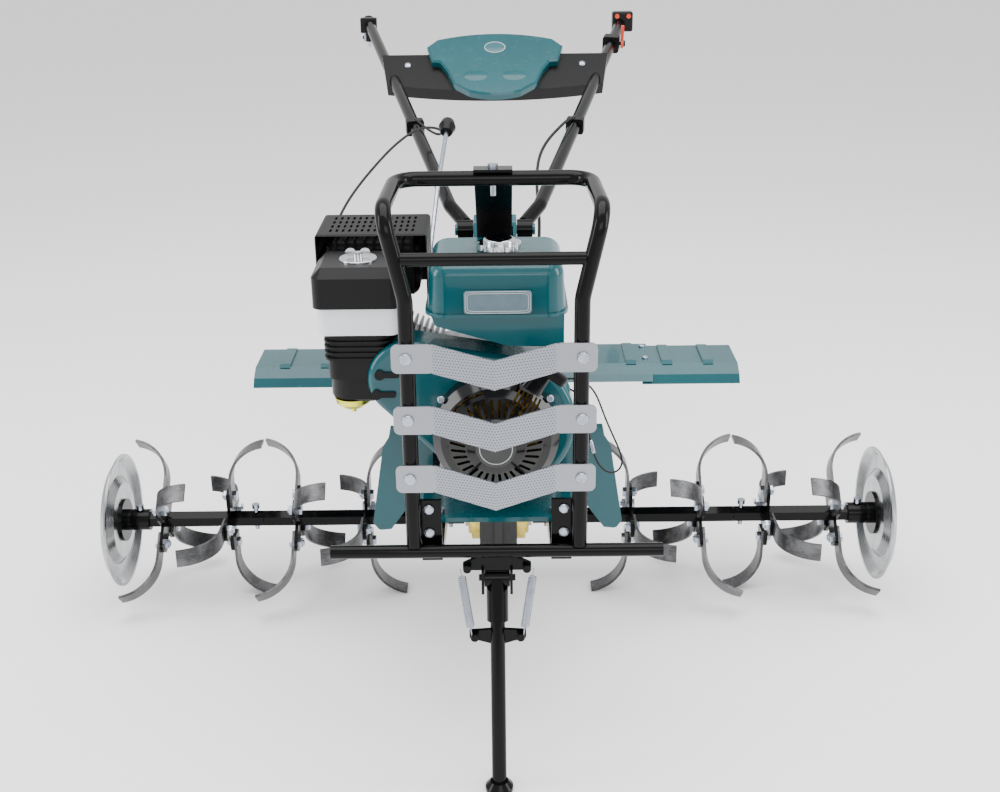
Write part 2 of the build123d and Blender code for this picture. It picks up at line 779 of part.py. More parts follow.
def stand_leg():
    """The folding leg: sleeve round the pivot, tube, spring lugs and the round foot."""
    low = leg_point(SPRING_LOW)
    with BuildPart() as leg:
        add(rod((-18.6, y(STAND_PIVOT[0]), STAND_PIVOT[1]), (18.6, y(STAND_PIVOT[0]), STAND_PIVOT[1]), 14))
        add(rod(leg_point(0.0), leg_point(0.20), 16))
        add(rod(leg_point(0.1), leg_point(0.975), TUBE / 2))
        foot = leg_point(1.0)
        add(rod(foot, (foot[0], foot[1], 6), 21))
        with BuildPart(mode=Mode.ADD) as cone:
            with BuildSketch(Plane(origin=(foot[0], foot[1], 6), z_dir=(0, 0, 1))):
                Circle(21)
            extrude(amount=9, taper=40)
        for side in (-1, 1):
            with BuildSketch(Plane(origin=low, x_dir=(1, 0, 0), z_dir=(0, -1, 0))):
                Polygon((0, -16), (side * 42, -3), (side * 42, 9), (0, 12), align=None)
            extrude(amount=3, both=True)
            x, z = side * SPRING_FOOT_X, low[2] + 3
            add(rod((x, low[1] - 12, z), (x, low[1], z), 3.5))
            add(rod((x, low[1] - 14, z), (x, low[1] - 11, z), 6))
        add(rod((-40, y(STAND_PIVOT[0]), STAND_PIVOT[1]), (40, y(STAND_PIVOT[0]), STAND_PIVOT[1]), 5 + FIT),
            mode=Mode.SUBTRACT)
    return leg.part


def stand_springs():
    """Two plain envelopes for the coil springs between the pins."""
    low = leg_point(SPRING_LOW)
    springs = []
    for side in (-1, 1):
        top = Vector(side * SPRING_TOP[0], y(CAGE_Y) - 8, SPRING_TOP[1])
        end = Vector(side * SPRING_FOOT_X, low[1] - 8, low[2] + 3)
        along = (end - top).normalized()
        springs.append(rod(tuple(top + along * 8), tuple(end - along * 8), 7))
    return group(springs)


# Guards
GUARD_Z = 478.0


def guard_sheet(low, high, top, front, back, lip, thick=2.0, ribs=()):
    """A pressed guard: gently arched top with turned-down edges and raised cross ribs."""
    with BuildPart() as sheet:
        with BuildSketch(Plane.YZ.offset(low)):
            with BuildLine():
                Polyline((y(front), top - lip), (y(front + 10), top - 12), (y(front + 34), top), (y(back - 30), top),
                         (y(back), top - 14), (y(back + 14), top - 60), (y(back + 14 - thick), top - 60),
                         (y(back - thick), top - 14 - thick / 2), (y(back - 30), top - thick),
                         (y(front + 34), top - thick), (y(front + 12), top - 12 - thick / 2),
                         (y(front + thick), top - lip), close=True)
            make_face()
        extrude(amount=high - low)
        for place in ribs:
            with BuildSketch(Plane.YZ.offset(place - 9)):
                with BuildLine():
                    Polyline((y(front + 30), top - 0.5), (y(front + 40), top + 4), (y(back - 36), top + 4),
                             (y(back - 26), top - 0.5), close=True)
                make_face()
            extrude(amount=18)
    return sheet.part


def guard_inner(side):
    """The guard next to the machine, carried by a bracket from the rail."""
    with BuildPart() as guard:
        add(guard_sheet(100, 272, GUARD_Z, -80, 84, 22, ribs=(168, 236)))
        add(block((94, y(-60), 300), (100, y(50), GUARD_Z - 3)))
        add(block((RAIL_X, y(-60), 300), (94, y(-20), 340)))
    return guard.part if side > 0 else mirrored(guard.part)


def guard_outer(side):
    """The extension that laps under the inner guard."""
    with BuildPart() as guard:
        add(guard_sheet(254, 424, GUARD_Z - 2.4, -76, 80, 26, ribs=(300, 372)))
    return guard.part if side > 0 else mirrored(guard.part)


def skirt(side):
    """The side sheet in front of the tines, flared outward at the bottom."""
    with BuildPart() as sheet:
        with BuildSketch(Plane.XZ.offset(-y(-262))):
            Polygon((104, 456), (170, 456), (174, 436), (184, 420), (206, 282), (196, 268), (176, 270),
                    (134, 330), (126, 351.5), (104, 351.5), align=None)
        extrude(amount=2)
        with BuildSketch(Plane.XY.offset(300)):
            with Locations((128, y(-258))):
                Rectangle(4, 12)
        extrude(amount=156)
        add(block((RAIL_X, y(-264), 300), (140, y(-262), 336)))
        fillet(sheet.edges().filter_by(Axis.Y).sort_by(Axis.Z)[0:1], 8)
    return sheet.part if side > 0 else mirrored(sheet.part)


def front_ledge():
    """The painted sheet on the cradle in front of the engine, with its edge turned down."""
    top = BASE_Z + 2.2
    return joined(block((-118, y(-381), top - 2), (118, y(-277), top)),
                  block((-118, y(-383), top - 8), (118, y(-381), top)))


# Handle mount and handlebar
PIVOT = (33.0, 700.0)
BEND = (80.0, 93.0, 728.0)
BAR_END = (306.0, 1100.0, 936.0)
GRIP_END = (322.0, 1236.0, 930.0)
PANEL = Plane(origin=(0, y(735), 880), x_dir=(1, 0, 0), z_dir=(0, -0.6, 0.8))


def handle_mount():
    """The painted post on top of the case that carries the handlebar's pivot pin."""
    with BuildPart() as mount:
        with BuildSketch(Plane.YZ):
            Polygon((y(-22), 500), (y(-22), 690), (y(0), 724), (y(48), 724), (y(60), 700), (y(60), 500), align=None)
        extrude(amount=37, both=True)
        fillet(mount.edges().filter_by(Axis.X).group_by(Axis.Z)[-1], 6)
        add(block((-31, y(-16), 480), (31, y(54), 716)), mode=Mode.SUBTRACT)
        with BuildSketch(Plane.YZ):
            case_outline(0.0)
        extrude(amount=37, both=True, mode=Mode.SUBTRACT)
        with BuildSketch(Plane.YZ):
            case_outline(9.0)
        extrude(amount=7, both=True, mode=Mode.SUBTRACT)
        add(rod((-68, y(PIVOT[0]), PIVOT[1]), (68, y(PIVOT[0]), PIVOT[1]), 8))
        for side in (-1, 1):
            add(rod((side * 65.5, y(PIVOT[0]), PIVOT[1]), (side * 70, y(PIVOT[0]), PIVOT[1]), 10))
    return mount.part


def bar_side(side):
    """One handlebar tube from its pivot boss to the grip."""
    path = [(side * 51, y(PIVOT[0] + 8), PIVOT[1] + 8), (side * BEND[0], y(BEND[1]), BEND[2]),
            (side * BAR_END[0], y(BAR_END[1]), BAR_END[2]), (side * GRIP_END[0], y(GRIP_END[1]), GRIP_END[2])]
    with BuildPart() as tube:
        with BuildLine() as route:
            FilletPolyline(*path, radius=[30, 60])
        with BuildSketch(Plane(origin=route.line @ 0, z_dir=route.line % 0)):
            Circle(BAR / 2)
            Circle(BAR / 2 - WALL, mode=Mode.SUBTRACT)
        sweep()
        add(rod((side * 38, y(PIVOT[0]), PIVOT[1]), (side * 65, y(PIVOT[0]), PIVOT[1]), 18))
        add(rod((side * 30, y(PIVOT[0]), PIVOT[1]), (side * 72, y(PIVOT[0]), PIVOT[1]), 8 + FIT),
            mode=Mode.SUBTRACT)
        add(block((-37.3, y(-30), 640), (37.3, y(90), 760)), mode=Mode.SUBTRACT)
    return tube.part


def bar_point(share, side=1):
    """A point along the straight stretch of a handlebar tube."""
    a, b = BEND, BAR_END
    return (side * (a[0] + (b[0] - a[0]) * share), y(a[1] + (b[1] - a[1]) * share), a[2] + (b[2] - a[2]) * share)


def bar_plane(share, side):
    """A plane across a handlebar tube, facing back along it."""
    here = Vector(*bar_point(share, side))
    return Plane(origin=here, x_dir=(1, 0, 0), z_dir=Vector(*bar_point(1.0, side)) - Vector(*bar_point(0.0, side)))


def handlebar():
    """Both tubes, joined by a cross tube under the panel."""
    left, right = bar_point(0.64, -1), bar_point(0.64)
    return joined(bar_side(-1), bar_side(1), rod(left, right, 9))


def grip(side):
    """A ribbed rubber grip on the end of a tube."""
    start, end = Vector(side * BAR_END[0], y(BAR_END[1]), BAR_END[2]), Vector(side * GRIP_END[0], y(GRIP_END[1]),
                                                                              GRIP_END[2])
    along = (end - start).normalized()
    with BuildPart() as rubber:
        add(rod(tuple(end - along * 112), tuple(end + along * 4), 16))
        for rib in range(12):
            here = end - along * (104 - 8.6 * rib)
            add(rod(tuple(here), tuple(here + along * 3.5), 17.5))
        add(rod(tuple(end - along * 120), tuple(end), BAR / 2), mode=Mode.SUBTRACT)
    return rubber.part


def dash_panel():
    """The black cross panel that wraps both tubes."""
    with BuildPart() as panel:
        with BuildSketch(PANEL):
            with BuildLine():
                Line((-250, 44), (250, 44))
                Line((250, 44), (236, -46))
                ThreePointArc((236, -46), (0, -66), (-236, -46))
                Line((-236, -46), (-250, 44))
            make_face()
        extrude(amount=-32)
        for side in (-1, 1):
            add(rod(bar_point(0.45, side), bar_point(0.85, side), BAR / 2), mode=Mode.SUBTRACT)
            add(rod(bar_point(0.64, -1), bar_point(0.64), 9), mode=Mode.SUBTRACT)
    return panel.part


def dash_shroud():
    """The painted cover over the middle of the panel: arched top, stepped waist, narrow round bottom."""
    with BuildPart() as shroud:
        with BuildSketch(PANEL):
            with BuildLine():
                ThreePointArc((-128, 74), (0, 92), (128, 74))
                Polyline((128, 74), (150, 52), (138, 6), (120, 4), (104, -22), (90, -60), (56, -84))
                ThreePointArc((56, -84), (0, -94), (-56, -84))
                Polyline((-56, -84), (-90, -60), (-104, -22), (-120, 4), (-138, 6), (-150, 52), (-128, 74))
            make_face()
        extrude(amount=18)
        front = shroud.faces().sort_by(lambda f: f.center().dot(PANEL.z_dir))[-1]
        chamfer(front.edges(), 4)
    return shroud.part


def clip(share, side):
    """A black clip that ties the cables to a tube."""
    with BuildPart() as tie:
        with BuildSketch(bar_plane(share, side)):
            RectangleRounded(36, 32, 5)
        extrude(amount=16)
        add(rod(bar_point(share - 0.1, side), bar_point(share + 0.1, side), BAR / 2), mode=Mode.SUBTRACT)
    return tie.part


def lever_perch():
    """The clutch lever's clamp on the left tube."""
    x, yy, z = -BAR_END[0] - 4, y(BAR_END[1] + 12), BAR_END[2]
    with BuildPart() as perch:
        add(block((x - 20, yy - 12, z - 18), (x + 20, yy + 8, z + 18), 3))
        add(block((x - 7, yy - 11, z - 38), (x + 7, yy + 7, z - 18)))
        add(rod((x - 16, yy - 2, z - 29), (x + 16, yy - 2, z - 29), 4))
        add(bar_side(-1), mode=Mode.SUBTRACT)
    return perch.part.solids().sort_by(SortBy.VOLUME)[-1]


LEVER_PIVOT = (-BAR_END[0] - 4, 1110.0, BAR_END[2] - 29)


def clutch_lever():
    """The long squeeze lever beneath the left grip."""
    x, yy, z = LEVER_PIVOT[0], y(LEVER_PIVOT[1]), LEVER_PIVOT[2]
    with BuildPart() as lever:
        for side in (-1, 1):
            low, high = sorted((x + side * 7.4, x + side * 12))
            add(block((low, yy - 9, z - 8), (high, yy + 16, z + 8)))
        add(block((x - 12, yy + 12, z - 12), (x + 12, yy + 20, z + 6)))
        with BuildLine() as route:
            FilletPolyline((x, yy + 15, z - 5), (x - 4, yy + 50, z - 22), (x - 12, yy + 120, z - 26), radius=30)
        with BuildSketch(Plane(origin=route.line @ 0, z_dir=route.line % 0)):
            RectangleRounded(16, 9, 3)
        sweep()
        add(rod((x - 20, yy, z), (x + 20, yy, z), 4 + FIT), mode=Mode.SUBTRACT)
    return lever.part


def switch_box():
    """The black switch housing round the right tube, with two button wells."""
    x, yy, z = BAR_END[0] + 4, y(BAR_END[1] + 8), BAR_END[2]
    with BuildPart() as box:
        add(block((x - 24, yy - 20, z - 20), (x + 26, yy + 12, z + 27), 5))
        for place in BUTTON_X:
            add(rod((x + place, yy - 24, z + 17), (x + place, yy - 14, z + 17), 5.5), mode=Mode.SUBTRACT)
        add(bar_side(1), mode=Mode.SUBTRACT)
    return box.part.solids().sort_by(SortBy.VOLUME)[-1]


BUTTON_X = (-13.0, 15.0)


def button(place):
    """A red push button in its well."""
    x, yy, z = BAR_END[0] + 4 + place, y(BAR_END[1] + 8), BAR_END[2] + 17
    return rod((x, yy - 24, z), (x, yy - 17.5, z), 5.45)


THROTTLE_AT = 0.84


def throttle_base():
    """The throttle's clamp on the right tube, with the lever's pivot pin."""
    with BuildPart() as base:
        with BuildSketch(bar_plane(THROTTLE_AT, 1)):
            RectangleRounded(38, 38, 6)
        extrude(amount=24)
        add(rod(bar_point(THROTTLE_AT - 0.1, 1), bar_point(THROTTLE_AT + 0.1, 1), BAR / 2), mode=Mode.SUBTRACT)
        x, yy, z = bar_point(THROTTLE_AT, 1)
        add(rod((x + 19, yy + 12, z + 2), (x + 34, yy + 12, z + 2), 4))
        add(rod((x + 31.5, yy + 12, z + 2), (x + 35, yy + 12, z + 2), 7))
    return base.part


def throttle_lever():
    """The red throttle lever on its pin."""
    x, yy, z = bar_point(THROTTLE_AT, 1)
    with BuildPart() as lever:
        with BuildSketch(Plane.YZ.offset(x + 25)):
            with Locations((yy + 12, z + 2)):
                Circle(11)
            Polygon((yy + 4, z + 8), (yy + 20, z + 8), (yy + 6, z + 44), (yy - 8, z + 44), align=None)
            with Locations((yy + 12, z + 2)):
                Circle(4 + FIT, mode=Mode.SUBTRACT)
        extrude(amount=6)
    return lever.part


SHIFT_PIVOT = (-58.0, -6.0, 536.0)


def shift_lever():
    """The gear lever: boss on its stub shaft, bent rod and the black knob."""
    x, along, z = SHIFT_PIVOT
    path = [(x - 1, y(along), z + 8), (x - 5, y(along), 566), (-113, y(-2), 668), (-102, y(115), 760), (-90, y(250), 830)]
    with BuildPart() as lever:
        with BuildLine() as route:
            FilletPolyline(*path, radius=[14, 30, 60])
        with BuildSketch(Plane(origin=route.line @ 0, z_dir=route.line % 0)):
            Circle(4)
        sweep()
        add(rod((x - 10, y(along), z), (x + 8, y(along), z), 11))
        add(rod((x - 20, y(along), z), (x + 20, y(along), z), 6 + FIT), mode=Mode.SUBTRACT)
    return lever.part


def shift_knob():
    """The knob on the gear lever."""
    end = Vector(-90, y(250), 830)
    along = (end - Vector(-102, y(115), 760)).normalized()
    with BuildPart() as knob:
        with BuildSketch(Plane(origin=end, z_dir=along)):
            Circle(11)
        extrude(amount=16, taper=-18)
        with BuildSketch(Plane(origin=end + along * 16, z_dir=along)):
            Circle(16)
        extrude(amount=18, taper=14)
        fillet(knob.edges().filter_by(GeomType.CIRCLE).sort_by(lambda e: (e.center() - end).dot(along))[-1], 6)
    return knob.part


def shift_stub():
    """The gearbox stub that the gear lever turns on."""
    x, along, z = SHIFT_PIVOT
    return joined(rod((-CASE_HALF, y(along), z), (x - 14, y(along), z), 6),
                  rod((x - 10.5, y(along), z), (x - 14, y(along), z), 9),
                  rod((-CASE_HALF, y(along), z), (-46, y(along), z), 13))


# Rear hitch and drag stake
HITCH = (150.0, 215.0)


def hitch():
    """The bar behind the case with the socket for the drag stake."""
    with BuildPart() as arm:
        add(block((-30, y(86), 150), (30, y(96), 250)))
        add(block((-20, y(60), 200), (20, y(86), 250)))
        add(block((-16, y(96), 190), (16, y(HITCH[0] - 16), 222)))
        add(block((-20, y(HITCH[0] - 20), 180), (20, y(HITCH[0] + 20), 250)))
        add(block((-12.6, y(HITCH[0] - 6.6), 150), (12.6, y(HITCH[0] + 6.6), 260)), mode=Mode.SUBTRACT)
        with BuildSketch(Plane.YZ):
            case_outline(9.0)
        extrude(amount=7, both=True, mode=Mode.SUBTRACT)
        with BuildSketch(Plane.YZ):
            case_outline(0.0)
        extrude(amount=40, both=True, mode=Mode.SUBTRACT)
        add(rod((-24, y(HITCH[0]), 232), (-12.6, y(HITCH[0]), 232), 5))
        add(rod((12.6, y(HITCH[0]), 232), (34, y(HITCH[0]), 232), 5))
    return arm.part


def drag_stake():
    """The flat stake that slows the machine, pointed at the bottom and drilled for its pin."""
    with BuildPart() as stake:
        with BuildSketch(Plane.XZ.offset(-y(HITCH[0] - 6))):
            Polygon((-12, 400), (12, 400), (12, 150), (0, 112), (-12, 150), align=None)
            with Locations(*[(0, 290 + 24 * hole) for hole in range(4)]):
                Circle(5, mode=Mode.SUBTRACT)
        extrude(amount=-12)
        add(block((-18, y(HITCH[0] - 6), 396), (18, y(HITCH[0] + 6), 402)))
    return stake.part


# Starter grip and cords
GRIP_AT = (70.0, -398.0, 596.0)
PULL = (0.6, 0.0, 0.8)


def starter_grip():
    """The starter's handle, lying across the pull."""
    x, along, z = GRIP_AT
    across = Plane(origin=(x, y(along), z), x_dir=(0.8, 0, -0.6), z_dir=PULL)
    with BuildPart() as handle:
        with BuildSketch(across):
            RectangleRounded(72, 18, 8)
        extrude(amount=16)
        fillet(handle.faces().sort_by(lambda f: f.center().dot(Vector(*PULL)))[-1].edges(), 5)
    return handle.part


def grip_rest():
    """The bracket on the starter that the grip rests against."""
    x, along, z = GRIP_AT
    across = Plane(origin=(x, y(along), z), x_dir=(0.8, 0, -0.6), z_dir=(-PULL[0], 0, -PULL[2]))
    with BuildPart() as rest:
        with BuildSketch(across):
            RectangleRounded(26, 22, 5)
        extrude(amount=30, taper=-8)
        with BuildSketch(Plane.XZ.offset(-y(-408))):
            with Locations((0, CRANK_Z)):
                Circle(RECOIL_R - 4)
        extrude(amount=-60, mode=Mode.SUBTRACT)
        add(block((x - 34, y(-398), z - 34), (x - 2, y(-350), z - 8)))
        with BuildSketch(Plane.XZ.offset(-y(-420))):
            with Locations((0, CRANK_Z)):
                Circle(RECOIL_R + 0.02)
        extrude(amount=-100, mode=Mode.SUBTRACT)
    return rest.part.solids().sort_by(SortBy.VOLUME)[-1]


def cord(points, diameter, name):
    """A free cord along straight runs and the largest tangent arcs that fit between them."""
    spots = [Vector(px, y(py), pz) for px, py, pz in points]
    radii = []
    for before, here, after in zip(spots, spots[1:], spots[2:]):
        half = radians((here - before).get_angle(after - here)) / 2
        radii.append(0.45 * min((here - before).length, (after - here).length) / tan(half))
    with BuildPart() as tube:
        with BuildLine() as route:
            FilletPolyline(*spots, radius=radii)
        with BuildSketch(Plane(origin=route.line @ 0, z_dir=route.line % 0)):
            Circle(diameter / 2)
        sweep()
    expected = pi * (diameter / 2) ** 2 * route.wire().length
    print(name, "length", round(route.wire().length), "smallest radius", round(min(radii), 1),
          "volume over length", round(tube.part.volume / expected, 4))
    return tube.part


def cut_by(part, *tools):
    """The part with the room for other pieces taken out of it."""
    with BuildPart() as body:
        add(part)
        for tool in tools:
            add(tool, mode=Mode.SUBTRACT)
    return body.part


def side_disc(side):
    """A dished guard disc with a rolled bead, on the end of the rotor."""
    with BuildPart() as disc:
        with BuildSketch(Plane.XY.offset(AXLE_Z)):
            Polygon((0, 20), (0, 70), (10, 84), (10, 108), (0, DISC_RADIUS - 6), (0, DISC_RADIUS), (2.5, DISC_RADIUS),
                    (2.5, DISC_RADIUS - 5), (12.5, 109), (12.5, 83), (2.5, 69), (2.5, 20), align=None)
        revolve(axis=Axis((0, 0, AXLE_Z), (1, 0, 0)))
    shape = disc.part.moved(Location((DISC_X, y(0), 0)))
    return shape if side > 0 else mirrored(shape)


def disc_hub(side):
    """The stub and clamp plates that hold a disc on the outer sleeve."""
    with BuildPart() as stub:
        add(rod((DISC_X, y(0), AXLE_Z), (DISC_X - 50, y(0), AXLE_Z), 19.9))
        add(rod((DISC_X, y(0), AXLE_Z), (DISC_X - 5, y(0), AXLE_Z), 40))
        add(rod((DISC_X - 1, y(0), AXLE_Z), (DISC_X + 2.5, y(0), AXLE_Z), 19.9))
        add(rod((DISC_X + 2.5, y(0), AXLE_Z), (DISC_X + 7, y(0), AXLE_Z), 34))
        with BuildSketch(Plane.YZ.offset(DISC_X - 60)):
            with Locations((y(0), AXLE_Z)):
                RegularPolygon(HEX_FLATS / 2 + 0.05, 6, major_radius=False, rotation=30)
        extrude(amount=54, mode=Mode.SUBTRACT)
    return stub.part if side > 0 else mirrored(stub.part)


def sleeves():
    """Four hexagon sleeves, two a side, each with two blade flanges, and the disc hubs."""
    inner = sleeve(64, 440, [(CLUSTERS[0], 0), (CLUSTERS[1], 45)])
    outer = sleeve(441, DISC_X - 6.5, [(CLUSTERS[2], 0), (CLUSTERS[3], 45)])
    right = [inner, outer, disc_hub(1)]
    return group(right + [mirrored(part) for part in right])


def tine_bolts(side):
    """A hex bolt and nut through each blade root."""
    bolts = []
    for number, place in enumerate(CLUSTERS):
        for turn in range(4):
            sweep_side = 1 if turn % 2 else -1
            angle = radians(45 * (number % 2) + 90 * turn)
            spot = (y(0) - BOLT_R * sin(angle), AXLE_Z + BOLT_R * cos(angle))
            face = place + sweep_side * (FLANGE / 2 + BLADE_THICK)
            back = place - sweep_side * FLANGE / 2
            bolts.append(joined(
                bolt((side * face, *spot), (side * sweep_side, 0, 0), 17, 6, 10, FLANGE + BLADE_THICK + 10),
                bolt((side * back, *spot), (-side * sweep_side, 0, 0), 17, 7, 10, 1)))
    return bolts


def lynch_pins():
    """The pins through the sleeve joints, each with its spring ring."""
    pins = []
    for side in (-1, 1):
        for place in (90.0, 455.0, 672.0):
            head = Vector(side * place, y(0), AXLE_Z)
            pins.append(joined(rod((head.X, head.Y, head.Z - 21), (head.X, head.Y, head.Z + 24), 4),
                               rod((head.X, head.Y, head.Z + 22), (head.X, head.Y, head.Z + 30), 7)))
    return pins


def frame_bolts():
    """Every fixing bolt of the frame, guards and engine that doesn't move."""
    front = y(CAGE_Y) - TUBE / 2 - 3
    bolts = []
    for side in (-1, 1):
        for top in STRAP_TOPS:
            bolts.append(bolt((side * (CAGE_X + 1), front, top - 21), (0, -1, 0), 17, 4, 8, 16, True))
        for height in (384, 422):
            bolts.append(bolt((side * 98, y(-492), height), (0, -1, 0), 15, 5, 8, 5, True))
        for along in (-30, 20):
            bolts.append(bolt((side * RAIL_X, y(along), 320), (side, 0, 0), 15, 7, 8, 14))
        for along in (-60, 60):
            bolts.append(bolt((side * 263, y(along * 0.5 + 8), GUARD_Z), (0, 0, 1), 11, 4, 6, 8, True))
        bolts.append(bolt((side * 82, y(-366), CRANK_Z + 62), (0, -1, 0), 12, 4, 5, 4, True))
        bolts.append(bolt((side * 90, y(-366), BASE_Z + 2.2), (0, 0, 1), 15, 8, 8, 8))
    for height in (590, 660):
        bolts.append(bolt((0, y(-27), height), (0, -1, 0), 15, 7, 8, 14))
    bolts.append(bolt((0, y(TOP_BAR[1]), 887), (0, 0, 1), 13, 6, 8, 40))
    return bolts


def build_all():
    """Make every sub-part, in the order of the machine from the case outward."""
    p = {}
    bolts = group(frame_bolts())
    p["case_fittings"] = group([hitch(), shift_stub()])
    p["gear_case"] = group([case_half(-1), case_half(1), clutch_housing()])
    p["bearing_hubs"] = group([hub(-1), hub(1)])
    p["input_shaft"] = input_shaft()
    p["cross_shaft"] = cross_shaft()
    p["upper_idler"] = idler(GEARS[1][1], GEARS[1][2])
    p["lower_idler"] = idler(GEARS[2][1], GEARS[2][2])
    p["tine_axle"] = axle()
    fasteners = group(tine_bolts(-1) + tine_bolts(1) + lynch_pins())
    p["sleeves"] = cut_by(sleeves(), fasteners)
    p["tine_axle"] = cut_by(p["tine_axle"], fasteners)
    for name, side in (("left", -1), ("right", 1)):
        blades = []
        for number, place in enumerate(CLUSTERS):
            blades += cluster(place, 45 * (number % 2)).solids()
        part = group(blades)
        p[f"tines_{name}"] = part if side > 0 else mirrored(part)
    p["side_discs"] = group([side_disc(-1), side_disc(1)])
    p["rotor_fasteners"] = fasteners
    p["engine_block"] = engine_block()
    p["cylinder"] = cylinder()
    p["crankshaft"] = crankshaft()
    p["blower_housing"] = cut_by(blower_housing(), p["cylinder"], p["engine_block"])
    p["recoil_cover"] = cut_by(group([joined(recoil_cover(), grip_rest())]), bolts)
    p["starter_grip"] = starter_grip()
    p["fuel_tank"] = fuel_tank()
    p["fuel_cap"] = cut_by(fuel_cap(), fuel_tank())
    p["tank_plate"] = cut_by(group([tank_plate(), recoil_badge()]), p["fuel_tank"], recoil_cover())
    p["cleaner_cover"] = cleaner_cover()
    p["cleaner_ring"] = cleaner_ring()
    p["cleaner_base"] = group([cleaner_base(), spark_plug()])
    p["cleaner_plate"] = cleaner_plate()
    p["carburettor"] = cut_by(carburettor(), cleaner_base(), p["cylinder"], p["blower_housing"])
    p["float_bowl"] = float_bowl()
    for name, (x, z) in zip(("choke_lever", "fuel_lever"), CONTROL_PIVOTS):
        p[name] = small_lever((x, y(-337), z), 30, 9)
    p["muffler"] = cut_by(muffler(), p["cylinder"])
    p["muffler_guard"] = muffler_guard()
    cage = joined(bumper_cage(), crossbar(), stand_bracket())
    p["bumper_cage"] = cut_by(cage, bolts)
    p["straps"] = cut_by(group([strap(top) for top in STRAP_TOPS]), bolts)
    p["cradle"] = cut_by(cradle(), bolts, p["bumper_cage"])
    p["brace_plate"] = cut_by(brace_plate(), bolts, p["bumper_cage"])
    p["handle_mount"] = cut_by(handle_mount(), bolts, p["brace_plate"], p["case_fittings"])
    p["guards"] = cut_by(group([guard_inner(-1), guard_inner(1), guard_outer(-1), guard_outer(1)]), bolts)
    p["skirts"] = cut_by(group([skirt(-1), skirt(1), front_ledge()]), bolts)
    p["frame_bolts"] = bolts
    p["stand_leg"] = stand_leg()
    p["stand_springs"] = stand_springs()
    p["drag_stake"] = drag_stake()
    p["handlebar"] = handlebar()
    p["grips"] = group([grip(-1), grip(1)])
    p["dash_panel"] = dash_panel()
    p["dash_shroud"] = dash_shroud()
    p["handle_clamps"] = group([clip(0.355, -1), clip(0.355, 1), lever_perch(), throttle_base()])
    p["clutch_lever"] = clutch_lever()
    p["switch_box"] = switch_box()
    p["stop_button"] = button(BUTTON_X[0])
    p["start_button"] = button(BUTTON_X[1])
    p["throttle_lever"] = throttle_lever()
    p["shift_lever"] = cut_by(shift_lever(), shift_knob())
    p["shift_knob"] = shift_knob()
    return p


CLUTCH_CABLE = [(160, 448, 822), (150, 428, 824), (128, 395, 812), (100, 350, 792), (84, 300, 772), (78, 240, 748),
                (78, 180, 724), (80, 120, 700), (78, 60, 672), (72, 10, 640), (62, -30, 612), (53, -60, 588),
                (44, -80, 565), (37, -90, 541)]
THROTTLE_CABLE = [(-160, 448, 822), (-154, 432, 820), (-142, 418, 812), (-126, 405, 803), (-112, 395, 799),
                  (-104, 384, 804), (-108, 372, 814), (-122, 360, 820), (-144, 345, 822), (-170, 320, 812),
                  (-198, 285, 794), (-224, 240, 772), (-248, 190, 750), (-268, 135, 728), (-282, 80, 704),
                  (-290, 30, 674), (-286, -10, 640), (-268, -36, 606), (-240, -52, 578), (-206, -66, 562),
                  (-172, -84, 556), (-148, -102, 556), (-129, -132, 557)]
ENGINE_WIRE = [(107, -300, 548), (120, -301, 550), (136, -306, 546), (148, -314, 539), (157, -322, 526),
               (164, -330, 508), (172, -336, 488), (182, -340, 466), (191, -344, 446), (196, -347, 429),
               (192, -350, 416), (180, -352, 410), (167, -354, 416), (157, -355, 429), (150, -354, 446),
               (145, -350, 466), (141, -342, 488), (137, -332, 508), (132, -320, 522), (125, -310, 529),
               (116, -303, 532)]


def main():
    parts = build_all()
    parts["clutch_cable"] = cord(CLUTCH_CABLE, 6.0, "clutch_cable")
    parts["throttle_cable"] = cord(THROTTLE_CABLE, 5.0, "throttle_cable")
    parts["engine_wire"] = cord(ENGINE_WIRE, 3.0, "engine_wire")
    for name, part in parts.items():
        save(part, name)
    print(len(parts), "sub-parts")


main()
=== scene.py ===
"""A walk-behind petrol tiller: paints, platings, cords and the shapes that are pressed or moulded."""
from math import cos, pi, radians, sin

import bpy
import numpy as np
from mathutils import Matrix, Vector


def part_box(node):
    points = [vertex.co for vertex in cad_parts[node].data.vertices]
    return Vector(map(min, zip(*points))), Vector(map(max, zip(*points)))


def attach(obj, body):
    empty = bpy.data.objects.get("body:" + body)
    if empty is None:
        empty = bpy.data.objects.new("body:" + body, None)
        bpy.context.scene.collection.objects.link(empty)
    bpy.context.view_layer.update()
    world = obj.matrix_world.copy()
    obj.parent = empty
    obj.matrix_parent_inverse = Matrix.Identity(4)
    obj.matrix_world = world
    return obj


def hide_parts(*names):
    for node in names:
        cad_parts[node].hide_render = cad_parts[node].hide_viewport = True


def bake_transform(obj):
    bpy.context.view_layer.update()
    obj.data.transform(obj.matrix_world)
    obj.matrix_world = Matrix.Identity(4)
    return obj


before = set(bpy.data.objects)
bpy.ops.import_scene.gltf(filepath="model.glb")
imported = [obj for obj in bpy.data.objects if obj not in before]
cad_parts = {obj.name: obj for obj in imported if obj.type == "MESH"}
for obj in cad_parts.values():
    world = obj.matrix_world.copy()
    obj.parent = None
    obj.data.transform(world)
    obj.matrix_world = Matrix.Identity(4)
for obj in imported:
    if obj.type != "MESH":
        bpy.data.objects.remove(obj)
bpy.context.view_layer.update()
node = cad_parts
mm = 0.001


